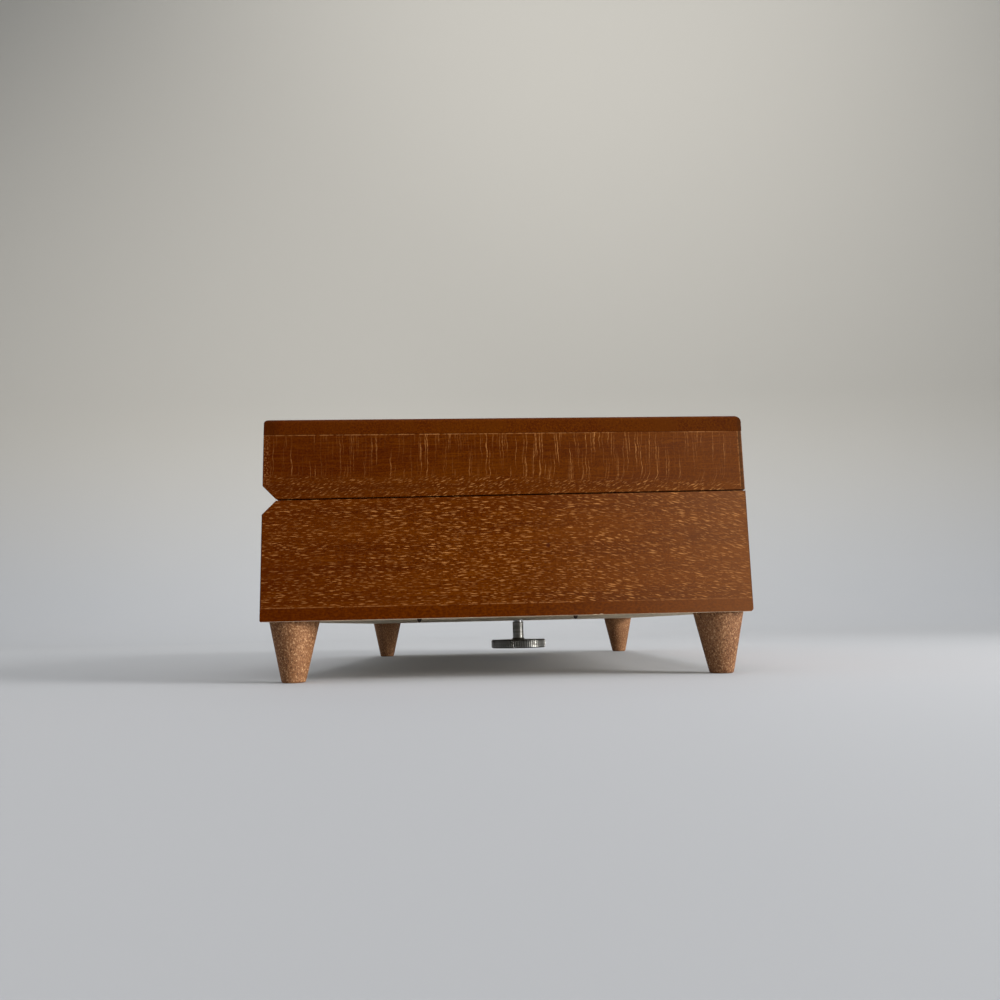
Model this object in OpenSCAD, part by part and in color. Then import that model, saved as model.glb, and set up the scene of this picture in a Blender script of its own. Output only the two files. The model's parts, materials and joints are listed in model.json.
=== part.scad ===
// Stained beech music box: a hinged lid, four turned feet and a comb movement wound from underneath.
// X runs along the hinge line, Y from the front (negative) to the back, Z up.
// The origin is on the floor under the middle of the case.

/* [Case] */
// Length of the case along the hinge line
case_l = 180; // [176:1:210]
// Depth of the case from front to back
case_w = 115; // [106:1:130]
// Thickness of the front and end walls of the base and the lid
wall_t = 7; // [6:0.5:8]
// Thickness of the back walls, which carry the hinges
back_wall_t = 10; // [9.5:0.5:12]
// Height of the base walls above the bottom board
base_wall_h = 25.5; // [25.5:0.1:34]
// Thickness of the bottom board
bottom_t = 3; // [2.8:0.1:5]
// Radius along the lower front edge of the bottom board; the back edge has half of it
bottom_round = 0.8; // [0.4:0.1:1.2]
// Gap between the lid and the base when the lid is shut
parting_gap = 0.3; // [0.3:0.05:0.6]
// Thickness of the partition between trinkets and movement
partition_t = 4; // [3:0.5:6]

/* [Lid] */
// Height of the lid over its rim at the hinge side
lid_back_h = 19.6; // [15:0.1:25]
// Height of the lid over its rim at the front
lid_front_h = 18.2; // [14:0.1:24]
// Thickness of the top board
lid_top_t = 3.9; // [3:0.1:5]
// Radius along the front top edge
lid_front_round = 1.8; // [0.5:0.1:2.5]
// Radius along the back and end top edges
lid_edge_round = 1.1; // [0.3:0.1:1.5]
// Radius of the upright front corners of the lid
lid_corner_round = 0.4; // [0.3:0.1:2.5]
// Radius of the dowel in the lid that presses the stop pin
dowel_r = 3.5; // [2.5:0.1:5]

/* [Hinges] */
// Depth of the 45 degree groove along the back
groove_depth = 3.3; // [3:0.1:4]
// How far the hinge axis lies outside the root of the groove
axis_out = 0.35; // [0.3:0.05:0.6]
// Length of each hinge
hinge_l = 26; // [22:1:34]
// Distance of each hinge's middle from its end of the case
hinge_inset = 32; // [26:1:44]
// Thickness of a hinge leaf
leaf_t = 0.8; // [0.6:0.1:1]
// Radius of the hinge knuckles
knuckle_r = 1.6; // [1.4:0.1:1.8]
// Radius of the hinge pin
hinge_pin_r = 0.8; // [0.6:0.05:0.9]
// Radius of the hinge screws' heads
hinge_head_r = 1.3; // [1.1:0.1:1.5]

/* [Feet] */
// Height of the feet
foot_h = 14.3; // [13:0.1:20]
// Radius of a foot where it meets the board
foot_top_r = 5.9; // [5:0.1:6.6]
// Radius of a foot at its sole
foot_sole_r = 2.8; // [2.2:0.1:4]
// Distance of a foot's axis from the two outer faces
foot_inset = 6.6; // [6.5:0.1:10]
// Radius of the tenon on top of a foot
tenon_r = 2.5; // [1.5:0.1:3]

/* [Winding knob] */
// Radius of the knurled knob
knob_r = 10.3; // [8:0.1:12]
// Thickness of the knob's disc
knob_t = 3.1; // [2.4:0.1:4]
// How far the knob hangs below the bottom board
knob_drop = 10.5; // [9:0.1:12]
// Radius of the knob's stem
stem_r = 2.05; // [1.9:0.05:2.6]
// Number of grooves in the knurl
knurl_count = 72; // [48:4:96]
// Depth of the knurl's grooves
knurl_depth = 0.25; // [0.1:0.05:0.4]
// How far the knob's axis lies in front of the middle
knob_forward = 5.6; // [0:0.1:8]

/* [Movement] */
// Room between the sweep of the fan and the end wall
fan_room = 1.4; // [1.4:0.1:3]
// Room between the bedplate and the partition
plate_room = 3.5; // [3.2:0.1:8]
// Thickness of the bedplate
bedplate_t = 2.5; // [2:0.1:2.6]
// Outer radius of the spring housing
housing_r = 13.5; // [13:0.1:13.6]
// Height of the spring housing
housing_h = 7.5; // [6.5:0.1:7.6]
// Module of the crown and its pinion
crown_module = 0.7; // [0.68:0.01:0.7]
// Outer radius of the pinned cylinder
cylinder_r = 5.8; // [5:0.1:6.2]
// Length of the pinned cylinder
cylinder_l = 20; // [18:0.1:24]
// Radius of a cylinder pin
tune_pin_r = 0.2; // [0.15:0.05:0.25]
// How far the pins stand out of the cylinder
tune_pin_h = 0.45; // [0.3:0.05:0.6]
// Number of notes in the comb
notes = 18; // [14:1:18]
// Thickness of the comb
comb_t = 1; // [0.8:0.1:1.2]
// Module of the wheel at the cylinder's end and of the pinion it drives
wheel_module = 0.35; // [0.34:0.005:0.35]
// Pitch of the worm's thread along its axis
worm_pitch = 1.2; // [1.16:0.01:1.2]
// Radius of the fan's sweep
fan_r = 4.6; // [3.5:0.1:4.7]
// Height of the fan's blades
fan_h = 4; // [3:0.1:4.2]
// How far the stop pin rises as the lid opens
stop_travel = 3; // [2:0.1:3.5]

/* [Glass and lining] */
// Thickness of the glass over the movement
glass_t = 1.8; // [1.5:0.1:2]
// How far the glass lies below the rim
glass_down = 0.5; // [0.3:0.1:0.6]
// Width and height of the ledges under the glass
ledge_s = 3; // [2.5:0.1:3]
// Thickness of the felt on the compartment floor
felt_t = 1; // [0.6:0.1:2]

/* [Clearances] */
// Running clearance between a shaft and its bore, on the radius
run_clear = 0.05; // [0.02:0.01:0.08]
// Clearance round fixed pieces set in wood or metal
set_clear = 0.05; // [0.02:0.01:0.1]
// Clearance between moving pieces and their neighbours
move_clear = 0.4; // [0.35:0.01:0.45]

/* [Hidden] */
$fn = 64;

// Colours
stained_beech = [0.40, 0.20, 0.05];
raw_wood = [0.72, 0.62, 0.50];
foot_wood = [0.52, 0.37, 0.25];
brass = [0.78, 0.62, 0.32];
steel = [0.70, 0.71, 0.72];
dark_steel = [0.22, 0.21, 0.20];
felt_red = [0.42, 0.06, 0.08];
glass_tint = [0.80, 0.90, 0.90, 0.35];

// Levels and faces of the case
half_l = case_l / 2;
half_w = case_w / 2;
inner_l = case_l - 2 * wall_t;
front_in = wall_t - half_w;
back_in = half_w - back_wall_t;
right_in = half_l - wall_t;
floor_z = foot_h + bottom_t;
rim_z = floor_z + base_wall_h;
lid_z = rim_z + parting_gap;
lid_tilt = atan2(lid_back_h - lid_front_h, case_w);
lid_slope_l = case_w / cos(lid_tilt);
through = 1;

// Hinges
axis_y = half_w - groove_depth + axis_out;
axis_z = rim_z + parting_gap / 2;
leaf_w = axis_y - back_in - set_clear - 0.4;
hinge_screw_y = axis_y - (knuckle_r + move_clear + leaf_w) / 2;
hinge_screw_r = hinge_head_r / 2;
hinge_screw_l = 7;
hinge_screw_off = hinge_l / 2 - 4.5;
hinge_x = half_l - hinge_inset;

// Brads that hold the bottom board to the walls
brad_r = 0.4;
brad_head_r = 0.55;
brad_head_h = 0.85;
brad_l = 12;
brad_ys = [-16.3, 20.7];
brad_in = wall_t / 2;
brad_places = [for (x = [-1, 1], y = brad_ys) [x * (half_l - brad_in), y]];

// Feet
tenon_h = bottom_t - 0.8;
sole_chamfer = 0.4;
foot_x = half_l - foot_inset;
foot_y = half_w - foot_inset;

// Tooth counts, which set how the wheels turn together
crown_teeth = 36;
pinion_leaves = 10;
wheel_teeth = 40;
governor_leaves = 8;
worm_teeth = 20;
worm_starts = 2;

// Movement: places along X from the barrel's axis
barrel_y = -knob_forward;
crown_r = crown_teeth * crown_module / 2;
crown_ring_w = 1.4;
crown_disc_t = 0.8;
crown_addendum = 0.6;
crown_dedendum = 0.9;
pinion_face = 2;
bracket_t = 1;
left_bracket_x = crown_r + pinion_face / 2 + move_clear;
cylinder_x = left_bracket_x + bracket_t + 0.5;
wheel_t = 1;
wheel_x = cylinder_x + cylinder_l + 0.5;
right_bracket_x = wheel_x + wheel_t + 0.5;
worm_x = right_bracket_x + bracket_t + 2.5;
governor_plate_x = worm_x + 2.4;
plate_end_x = governor_plate_x + bracket_t + 0.6;
plate_start_x = -housing_r - 1;
plate_front_y = -30;
plate_back_y = 22;
barrel_x = right_in - fan_room - fan_r - worm_x;
partition_x = barrel_x + plate_start_x - plate_room;
movement_room_l = right_in - partition_x;

// Movement: heights above the bottom board
crown_z = bedplate_t + housing_h + move_clear + crown_disc_t + crown_dedendum;
pinion_r = pinion_leaves * crown_module / 2;
cylinder_z = crown_z + pinion_r;
wheel_r = wheel_teeth * wheel_module / 2;
wheel_addendum = 0.28;
wheel_dedendum = 0.45;
leaf_addendum = 0.22;
governor_pinion_r = governor_leaves * wheel_module / 2;
governor_angle = -35;
governor_y = (wheel_r + governor_pinion_r) * cos(governor_angle);
governor_z = cylinder_z + (wheel_r + governor_pinion_r) * sin(governor_angle);
worm_r = 1.5;
worm_addendum = 0.35;
worm_dedendum = 0.5;
worm_lead = worm_starts * worm_pitch;
worm_angle = atan(worm_lead / (2 * PI * worm_r));
worm_wheel_r = worm_teeth * worm_pitch / (2 * PI);
worm_wheel_face = 1.6;
worm_y = governor_y + worm_wheel_r + worm_r;
worm_l = 5;
fan_z = governor_z + worm_wheel_r + worm_addendum + move_clear;
cock_z = fan_z + fan_h + move_clear;
cock_t = 1.2;
cock_post_r = 1.6;
cock_rivet_r = 0.8;
cock_y = worm_y + fan_r + move_clear + cock_post_r;

// Shafts of the movement
arbor_r = 1.9;
arbor_room = 0.7;
arbor_core_r = 3;
arbor_top_r = 1.6;
arbor_thread_r = 1.4;
cylinder_arbor_r = 1;
governor_shaft_r = 0.6;
knob_z = foot_h - knob_drop;
stem_top_z = foot_h - 0.6;

// Comb
comb_pitch = cylinder_l / notes;
comb_slot = 0.3;
comb_tip_y = -(cylinder_r + tune_pin_h + 0.35);
comb_heel_l = 8;
tine_long = 13.5;
tine_short = 8;
comb_screw_r = 1;
comb_head_r = 1.9;
comb_head_h = 1.3;
comb_screw_x = 7;

// Stop pin
stop_x = cylinder_x + cylinder_l - 3;
stop_y = worm_y;
stop_r = 0.8;
stop_low_z = 5;
stop_finger_r = 0.4;
stop_over = 0.6;
stop_finger_z = fan_z + fan_h + stop_finger_r + stop_over - stop_travel;
guide_z = 8;
guide_t = 1.2;
spring_t = 0.3;

// Small screws on the bedplate: places of their axes and of the faces under their heads
small_screw_r = 0.8;
small_head_r = 1.5;
small_head_h = 1;
small_screw_places = [
    [left_bracket_x + 5, 0, bracket_t],
    [right_bracket_x - 5, 0, bracket_t],
    [governor_plate_x - 2, 1, bracket_t],
    [stop_x, stop_y + 6.6, bracket_t],
    [stop_x - 13, stop_y, spring_t],
];
board_screw_r = 1.3;
board_head_r = 2.6;
board_head_h = 1.4;
board_screw_places = [
    [plate_start_x + 4, plate_front_y + 4],
    [plate_end_x - 5, plate_front_y + 4],
    [plate_start_x + 4, plate_back_y - 4],
];

// An outline in Y and Z, drawn out along X
module along_x(start, length) {
    translate([start, 0, 0]) rotate([90, 0, 90]) linear_extrude(length) children();
}

// A round bar along X from a start
module bar_x(start, length, r) {
    translate([start, 0, 0]) rotate([0, 90, 0]) cylinder(h = length, r = r);
}

// A hole along Z right through a plate that starts at height zero
module plate_hole(x, y, t, r) {
    translate([x, y, -through]) cylinder(h = t + 2 * through, r = r);
}

// Moves pieces of the movement to their place, over the bottom board
module on_floor() {
    translate([barrel_x, barrel_y, floor_z]) children();
}

// Points on a quarter circle from one angle to another
function arc(cx, cy, r, from, to, steps = 8) =
    [for (i = [0:steps]) let (a = from + (to - from) * i / steps) [cx + r * cos(a), cy + r * sin(a)]];

// Outline of one tooth or leaf that points along X, wide at its root and narrow at its tip
module tooth_2d(root, pitch, tip, root_w, pitch_w, tip_w) {
    shoulder = pitch + (tip - pitch) * 0.65;
    shoulder_w = pitch_w * 0.75 + tip_w * 0.1;
    sunk = root - 0.15;
    polygon([
        [sunk, -root_w / 2], [root, -root_w / 2], [pitch, -pitch_w / 2],
        [shoulder, -shoulder_w / 2], [tip, -tip_w / 2], [tip, tip_w / 2],
        [shoulder, shoulder_w / 2], [pitch, pitch_w / 2], [root, root_w / 2], [sunk, root_w / 2],
    ]);
}

// Outline of a wheel with its first tooth along X
module wheel_2d(teeth, root, pitch, tip, root_w, pitch_w, tip_w) {
    circle(r = root);
    for (i = [0:teeth - 1])
        rotate(i * 360 / teeth) tooth_2d(root, pitch, tip, root_w, pitch_w, tip_w);
}

// Case

module brad_holes() {
    for (p = brad_places)
        translate([p[0], p[1], foot_h - through])
            cylinder(h = brad_l + through + set_clear, r = brad_r + set_clear);
}

module bottom_board() {
    color(raw_wood) difference() {
        along_x(-half_l, case_l) polygon(concat(
            arc(bottom_round - half_w, foot_h + bottom_round, bottom_round, 180, 270),
            arc(half_w - bottom_round / 2, foot_h + bottom_round / 2, bottom_round / 2, 270, 360),
            [[half_w, floor_z], [-half_w, floor_z]]
        ));
        brad_holes();
        for (x = [-1, 1], y = [-1, 1])
            translate([x * foot_x, y * foot_y, foot_h - through])
                cylinder(h = tenon_h + through + set_clear, r = tenon_r + set_clear);
        on_floor() translate([0, 0, -bottom_t]) {
            plate_hole(0, 0, bottom_t, arbor_r + arbor_room);
            for (p = board_screw_places) {
                plate_hole(p[0], p[1], bottom_t, board_screw_r + set_clear);
                translate([p[0], p[1], 0]) board_head(set_clear);
            }
        }
    }
}

module base_front() {
    color(stained_beech)
        translate([-half_l + wall_t, -half_w, floor_z]) cube([inner_l, wall_t, base_wall_h]);
}

// Room in the back walls for the two hinges
module hinge_pockets() {
    for (s = [-1, 1]) {
        x0 = s * hinge_x - hinge_l / 2 - set_clear;
        pocket_l = hinge_l + 2 * set_clear;
        translate([0, axis_y, axis_z]) bar_x(x0, pocket_l, knuckle_r + move_clear);
        translate([x0, axis_y - leaf_w - set_clear, rim_z - leaf_t - set_clear])
            cube([pocket_l, leaf_w + set_clear, 2 * (leaf_t + set_clear) + parting_gap]);
        for (d = [-1, 1])
            translate([s * hinge_x + d * hinge_screw_off, hinge_screw_y, axis_z - hinge_screw_l])
                plate_hole(0, 0, 2 * hinge_screw_l, hinge_screw_r + set_clear);
    }
}

module base_back() {
    color(stained_beech) difference() {
        along_x(-half_l + wall_t, inner_l) polygon([
            [back_in, floor_z], [half_w, floor_z], [half_w, rim_z - groove_depth],
            [half_w - groove_depth, rim_z], [back_in, rim_z],
        ]);
        hinge_pockets();
    }
}

module base_end(start) {
    color(stained_beech) difference() {
        along_x(start, wall_t) polygon([
            [-half_w, floor_z], [half_w, floor_z], [half_w, rim_z - groove_depth],
            [half_w - groove_depth, rim_z], [-half_w, rim_z],
        ]);
        brad_holes();
    }
}

module base_left_end() { base_end(-half_l); }

module base_right_end() { base_end(right_in); }

module partition() {
    color(stained_beech)
        translate([partition_x - partition_t, front_in, floor_z])
            cube([partition_t, back_in - front_in, base_wall_h - glass_down]);
}

glass_z = rim_z - glass_down - glass_t;
glass_gap = 0.3;

module glass_ledges() {
    color(stained_beech) for (x = [partition_x, right_in - ledge_s])
        translate([x, front_in, glass_z - ledge_s]) cube([ledge_s, back_in - front_in, ledge_s]);
}

module glass_cover() {
    color(glass_tint) difference() {
        translate([partition_x + glass_gap, front_in + glass_gap, glass_z])
            cube([movement_room_l - 2 * glass_gap, back_in - front_in - 2 * glass_gap, glass_t]);
        translate([0, 0, glass_z]) plate_hole(barrel_x + stop_x, barrel_y + stop_y, glass_t, 2 * stop_r);
    }
}

module felt_lining() {
    edge = 0.5;
    color(felt_red)
        translate([-half_l + wall_t + edge, front_in + edge, floor_z])
            cube([partition_x - partition_t + right_in - 2 * edge, back_in - front_in - 2 * edge, felt_t]);
}

module foot(x, y) {
    color(foot_wood) translate([x * foot_x, y * foot_y, 0]) rotate_extrude() polygon([
        [0, 0], [foot_sole_r - sole_chamfer, 0], [foot_sole_r, sole_chamfer],
        [foot_top_r, foot_h], [tenon_r, foot_h], [tenon_r, foot_h + tenon_h], [0, foot_h + tenon_h],
    ]);
}

module foot_front_left() { foot(-1, -1); }

module foot_front_right() { foot(1, -1); }

module foot_back_left() { foot(-1, 1); }

module foot_back_right() { foot(1, 1); }

// The heads at the left end stand proud, and the two at the right end are driven in flush
module bottom_pins() {
    color(dark_steel) for (p = brad_places) translate([p[0], p[1], foot_h]) {
        if (p[0] < 0)
            translate([0, 0, -brad_head_h])
                cylinder(h = brad_head_h, r1 = brad_head_r * 0.6, r2 = brad_head_r);
        cylinder(h = brad_l, r = brad_r);
    }
}

// Lid

function lid_under(y) = lid_z + lid_front_h - lid_top_t + (y + half_w) * tan(lid_tilt);

module lid_top() {
    edge = lid_edge_round;
    front = lid_front_round;
    color(stained_beech)
        translate([0, -half_w, lid_z + lid_front_h - lid_top_t]) rotate([lid_tilt, 0, 0]) intersection() {
            along_x(-half_l, case_l) polygon(concat(
                [[lid_slope_l, 0]],
                arc(lid_slope_l - edge, lid_top_t - edge, edge, 0, 90),
                arc(front, lid_top_t - front, front, 90, 180),
                [[0, 0]]
            ));
            rotate([90, 0, 0]) translate([0, 0, -lid_slope_l]) linear_extrude(lid_slope_l) polygon(concat(
                [[half_l, 0]],
                arc(half_l - edge, lid_top_t - edge, edge, 0, 90),
                arc(edge - half_l, lid_top_t - edge, edge, 90, 180),
                [[-half_l, 0]]
            ));
        }
}

module lid_front() {
    color(stained_beech) along_x(-half_l + wall_t, inner_l) polygon([
        [-half_w, lid_z], [front_in, lid_z], [front_in, lid_under(front_in)], [-half_w, lid_under(-half_w)],
    ]);
}

module lid_back() {
    color(stained_beech) difference() {
        along_x(-half_l + wall_t, inner_l) polygon([
            [back_in, lid_z], [half_w - groove_depth, lid_z], [half_w, lid_z + groove_depth],
            [half_w, lid_under(half_w)], [back_in, lid_under(back_in)],
        ]);
        hinge_pockets();
    }
}

// What is cut away to round one upright front corner, on the side given by s
module corner_cut(s) {
    r = lid_corner_round;
    translate([s * half_l, -half_w, lid_z - through]) difference() {
        translate([-r, -r, 0]) cube([2 * r, 2 * r, lid_back_h + lid_front_h]);
        translate([-s * r, r, -through]) cylinder(h = lid_back_h + lid_front_h + 2 * through, r = r);
        translate([s > 0 ? -2 * r - r : r, -2 * r, -through])
            cube([2 * r, 4 * r, lid_back_h + lid_front_h + 2 * through]);
    }
}

module lid_end(s) {
    color(stained_beech) difference() {
        along_x(s < 0 ? -half_l : right_in, wall_t) polygon([
            [-half_w, lid_z], [half_w - groove_depth, lid_z], [half_w, lid_z + groove_depth],
            [half_w, lid_under(half_w)], [-half_w, lid_under(-half_w)],
        ]);
        corner_cut(s);
    }
}

module lid_left_end() { lid_end(-1); }

module lid_right_end() { lid_end(1); }

// Its lower end is level with the lid's rim, right over the stop pin
module lid_dowel() {
    y = barrel_y + stop_y;
    color(raw_wood) difference() {
        translate([barrel_x + stop_x, y, lid_z]) cylinder(h = lid_under(y) - lid_z + dowel_r, r = dowel_r);
        translate([0, -half_w, lid_z + lid_front_h - lid_top_t]) rotate([lid_tilt, 0, 0])
            translate([-half_l, -case_w, 0]) cube([case_l, 3 * case_w, lid_back_h + lid_front_h]);
    }
}

// Hinges

// Each hinge has five knuckles, the outer and middle ones on the base
knuckle_gap = 0.3;
knuckle_l = (hinge_l - 4 * knuckle_gap) / 5;
function knuckle_x(i) = i * (knuckle_l + knuckle_gap) - hinge_l / 2;

module hinge_leaf(s, own, other, low) {
    notch = knuckle_r + move_clear;
    head_h = hinge_head_r - hinge_screw_r;
    translate([s * hinge_x, axis_y, axis_z]) difference() {
        union() {
            translate([-hinge_l / 2, -leaf_w, low ? -parting_gap / 2 - leaf_t : parting_gap / 2])
                cube([hinge_l, leaf_w, leaf_t]);
            for (i = own) bar_x(knuckle_x(i), knuckle_l, knuckle_r);
        }
        for (i = other)
            translate([knuckle_x(i) - knuckle_gap, -notch, -2 * knuckle_r])
                cube([knuckle_l + 2 * knuckle_gap, 2 * notch, 4 * knuckle_r]);
        bar_x(-hinge_l, 2 * hinge_l, hinge_pin_r + run_clear);
        for (d = [-1, 1])
            translate([d * hinge_screw_off, hinge_screw_y - axis_y, 0]) mirror([0, 0, low ? 1 : 0]) {
                cylinder(h = hinge_screw_l, r = hinge_screw_r + set_clear);
                translate([0, 0, parting_gap / 2])
                    cylinder(h = head_h, r1 = hinge_head_r + set_clear, r2 = hinge_screw_r + set_clear);
            }
    }
}

module left_hinge_base_leaf() { color(brass) hinge_leaf(-1, [0, 2, 4], [1, 3], true); }

module right_hinge_base_leaf() { color(brass) hinge_leaf(1, [0, 2, 4], [1, 3], true); }

module left_hinge_lid_leaf() { color(brass) hinge_leaf(-1, [1, 3], [0, 2, 4], false); }

module right_hinge_lid_leaf() { color(brass) hinge_leaf(1, [1, 3], [0, 2, 4], false); }

module hinge_pins() {
    color(steel) for (s = [-1, 1])
        translate([s * hinge_x, axis_y, axis_z]) bar_x(-hinge_l / 2, hinge_l, hinge_pin_r);
}

// Countersunk screws, drawn pointing up from the leaf's face
module hinge_screws(low) {
    head_h = hinge_head_r - hinge_screw_r;
    slot_w = 0.4;
    slot_depth = 0.25;
    color(brass) for (s = [-1, 1], d = [-1, 1])
        translate([s * hinge_x + d * hinge_screw_off, hinge_screw_y, axis_z])
            mirror([0, 0, low ? 1 : 0]) translate([0, 0, parting_gap / 2]) difference() {
                union() {
                    cylinder(h = head_h, r1 = hinge_head_r, r2 = hinge_screw_r);
                    cylinder(h = hinge_screw_l - 1, r = hinge_screw_r);
                }
                translate([-hinge_head_r, -slot_w / 2, -through])
                    cube([2 * hinge_head_r, slot_w, through + slot_depth]);
            }
}

module hinge_base_screws() { hinge_screws(true); }

module hinge_lid_screws() { hinge_screws(false); }

// Movement: fixed pieces

module bedplate() {
    color(brass) on_floor() difference() {
        translate([plate_start_x, plate_front_y, 0])
            cube([plate_end_x - plate_start_x, plate_back_y - plate_front_y, bedplate_t]);
        plate_hole(0, 0, bedplate_t, arbor_r + run_clear);
        plate_hole(worm_x, worm_y, bedplate_t, governor_shaft_r + run_clear);
        plate_hole(worm_x, cock_y, bedplate_t, cock_rivet_r + set_clear);
        for (p = small_screw_places) plate_hole(p[0], p[1], bedplate_t, small_screw_r + set_clear);
        for (p = board_screw_places) plate_hole(p[0], p[1], bedplate_t, board_screw_r + set_clear);
        for (x = comb_screw_places) plate_hole(x, comb_screw_y, bedplate_t, comb_screw_r + set_clear);
    }
}

housing_wall = 1;
housing_top_t = 0.8;

module spring_housing() {
    color(steel) on_floor() translate([0, 0, bedplate_t]) difference() {
        cylinder(h = housing_h, r = housing_r);
        translate([0, 0, -through])
            cylinder(h = housing_h - housing_top_t + through, r = housing_r - housing_wall);
        plate_hole(0, 0, housing_h, arbor_top_r + run_clear);
    }
}

// A flat steel ribbon, coiled from the arbor out to the housing's wall
module mainspring() {
    turns = 7;
    steps = 24 * turns;
    ribbon_t = 0.4;
    inner = arbor_core_r + 0.1;
    outer = housing_r - housing_wall - ribbon_t - 0.1;
    margin = 0.4;
    function coil_r(i) = inner + (outer - inner) * i / steps;
    function coil_point(i, r) = [r * cos(i * 360 * turns / steps), r * sin(i * 360 * turns / steps)];
    color(dark_steel) on_floor() translate([0, 0, bedplate_t + margin])
        linear_extrude(housing_h - housing_top_t - 2 * margin) polygon(concat(
            [for (i = [0:steps]) coil_point(i, coil_r(i))],
            [for (i = [steps:-1:0]) coil_point(i, coil_r(i) + ribbon_t)]
        ));
}

comb_z = cylinder_z - comb_t / 2;
comb_heel_y = comb_tip_y - tine_long;
comb_screw_y = comb_heel_y - comb_heel_l / 2;
comb_mid_x = cylinder_x + cylinder_l / 2;
comb_screw_places = [comb_mid_x - comb_screw_x, comb_mid_x + comb_screw_x];

module comb_base() {
    color(brass) on_floor() difference() {
        translate([cylinder_x, comb_heel_y - comb_heel_l, bedplate_t])
            cube([cylinder_l, comb_heel_l, comb_z - bedplate_t]);
        for (x = comb_screw_places) plate_hole(x, comb_screw_y, comb_z, comb_screw_r + set_clear);
    }
}

// The slots between the tines grow shorter from the low notes to the high ones
module comb() {
    color(steel) on_floor() translate([cylinder_x, 0, comb_z]) difference() {
        translate([0, comb_heel_y - comb_heel_l, 0]) cube([cylinder_l, tine_long + comb_heel_l, comb_t]);
        for (i = [1:notes - 1]) {
            slot_l = tine_long + (tine_short - tine_long) * i / notes;
            translate([i * comb_pitch - comb_slot / 2, comb_tip_y - slot_l, -through])
                cube([comb_slot, slot_l + through, comb_t + 2 * through]);
        }
        for (x = comb_screw_places)
            plate_hole(x - cylinder_x, comb_screw_y, comb_t, comb_screw_r + set_clear);
    }
}

// A slotted cheese head screw whose head rests at height zero
module cheese_screw(head_r, head_h, r, length) {
    slot_w = head_r / 3;
    slot_l = 2 * (head_r + through);
    difference() {
        union() {
            cylinder(h = head_h, r = head_r);
            translate([0, 0, -length]) cylinder(h = length + head_h / 2, r = r);
        }
        translate([-slot_l / 2, -slot_w / 2, head_h * 0.6]) cube([slot_l, slot_w, head_h]);
    }
}

module comb_screws() {
    top = comb_z + comb_t;
    color(steel) on_floor() for (x = comb_screw_places)
        translate([x, comb_screw_y, top]) cheese_screw(comb_head_r, comb_head_h, comb_screw_r, top - 0.5);
}

module bracket_screws() {
    color(steel) on_floor() for (p = small_screw_places)
        translate([p[0], p[1], bedplate_t + p[2]])
            cheese_screw(small_head_r, small_head_h, small_screw_r, bedplate_t + p[2] - 0.5);
}

// The countersunk head of a screw in the bottom board, or with some room its seat
module board_head(room) {
    cylinder(h = board_head_h + room, r1 = board_head_r + room, r2 = board_screw_r + room);
}

module movement_screws() {
    length = bottom_t + bedplate_t - 0.3;
    slot_w = 0.8;
    color(steel) on_floor() for (p = board_screw_places) translate([p[0], p[1], -bottom_t]) difference() {
        union() {
            board_head(0);
            cylinder(h = length, r = board_screw_r);
        }
        translate([-board_head_r, -slot_w / 2, -through]) cube([2 * board_head_r, slot_w, through + 0.6]);
    }
}

// The foot of a bracket, with a hole for its screw
module bracket_foot(x, y, l, w, screw) {
    translate([0, 0, bedplate_t]) difference() {
        translate([x, y, 0]) cube([l, w, bracket_t]);
        plate_hole(screw[0], screw[1], bracket_t, small_screw_r + set_clear);
    }
}

bracket_half_w = 4.2;
bracket_over = 2.4;
governor_ear = 2.2;

module left_bracket() {
    foot_l = 7.5;
    color(brass) on_floor() {
        difference() {
            along_x(left_bracket_x, bracket_t) polygon([
                [-bracket_half_w, bedplate_t], [bracket_half_w, bedplate_t],
                [bracket_over, cylinder_z + bracket_over], [-bracket_over, cylinder_z + bracket_over],
            ]);
            translate([0, 0, cylinder_z]) bar_x(0, 3 * crown_r, cylinder_arbor_r + run_clear);
        }
        bracket_foot(left_bracket_x, -bracket_half_w, foot_l, 2 * bracket_half_w, small_screw_places[0]);
    }
}

module right_bracket() {
    foot_l = 8.5;
    ear = governor_ear;
    color(brass) on_floor() {
        difference() {
            along_x(right_bracket_x, bracket_t) polygon([
                [-bracket_half_w, bedplate_t], [governor_y + ear, bedplate_t],
                [governor_y + ear, governor_z + ear], [governor_y - ear, governor_z + ear],
                [bracket_over, cylinder_z + bracket_over], [-bracket_over, cylinder_z + bracket_over],
            ]);
            translate([0, 0, cylinder_z]) bar_x(0, 2 * worm_x, cylinder_arbor_r + run_clear);
            translate([0, governor_y, governor_z]) bar_x(0, 2 * worm_x, governor_shaft_r + run_clear);
        }
        bracket_foot(right_bracket_x + bracket_t - foot_l, -bracket_half_w, foot_l, 2 * bracket_half_w,
            small_screw_places[1]);
    }
}

module governor_plate() {
    foot_l = 5;
    foot_w = 4;
    foot_y = -1;
    ear = governor_ear;
    color(brass) on_floor() {
        difference() {
            along_x(governor_plate_x, bracket_t) polygon([
                [foot_y, bedplate_t], [governor_y + ear, bedplate_t],
                [governor_y + ear, governor_z + ear], [governor_y - ear, governor_z + ear],
            ]);
            translate([0, governor_y, governor_z]) bar_x(0, 2 * worm_x, governor_shaft_r + run_clear);
        }
        bracket_foot(governor_plate_x + bracket_t - foot_l, foot_y, foot_l, foot_w, small_screw_places[2]);
    }
}

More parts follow.
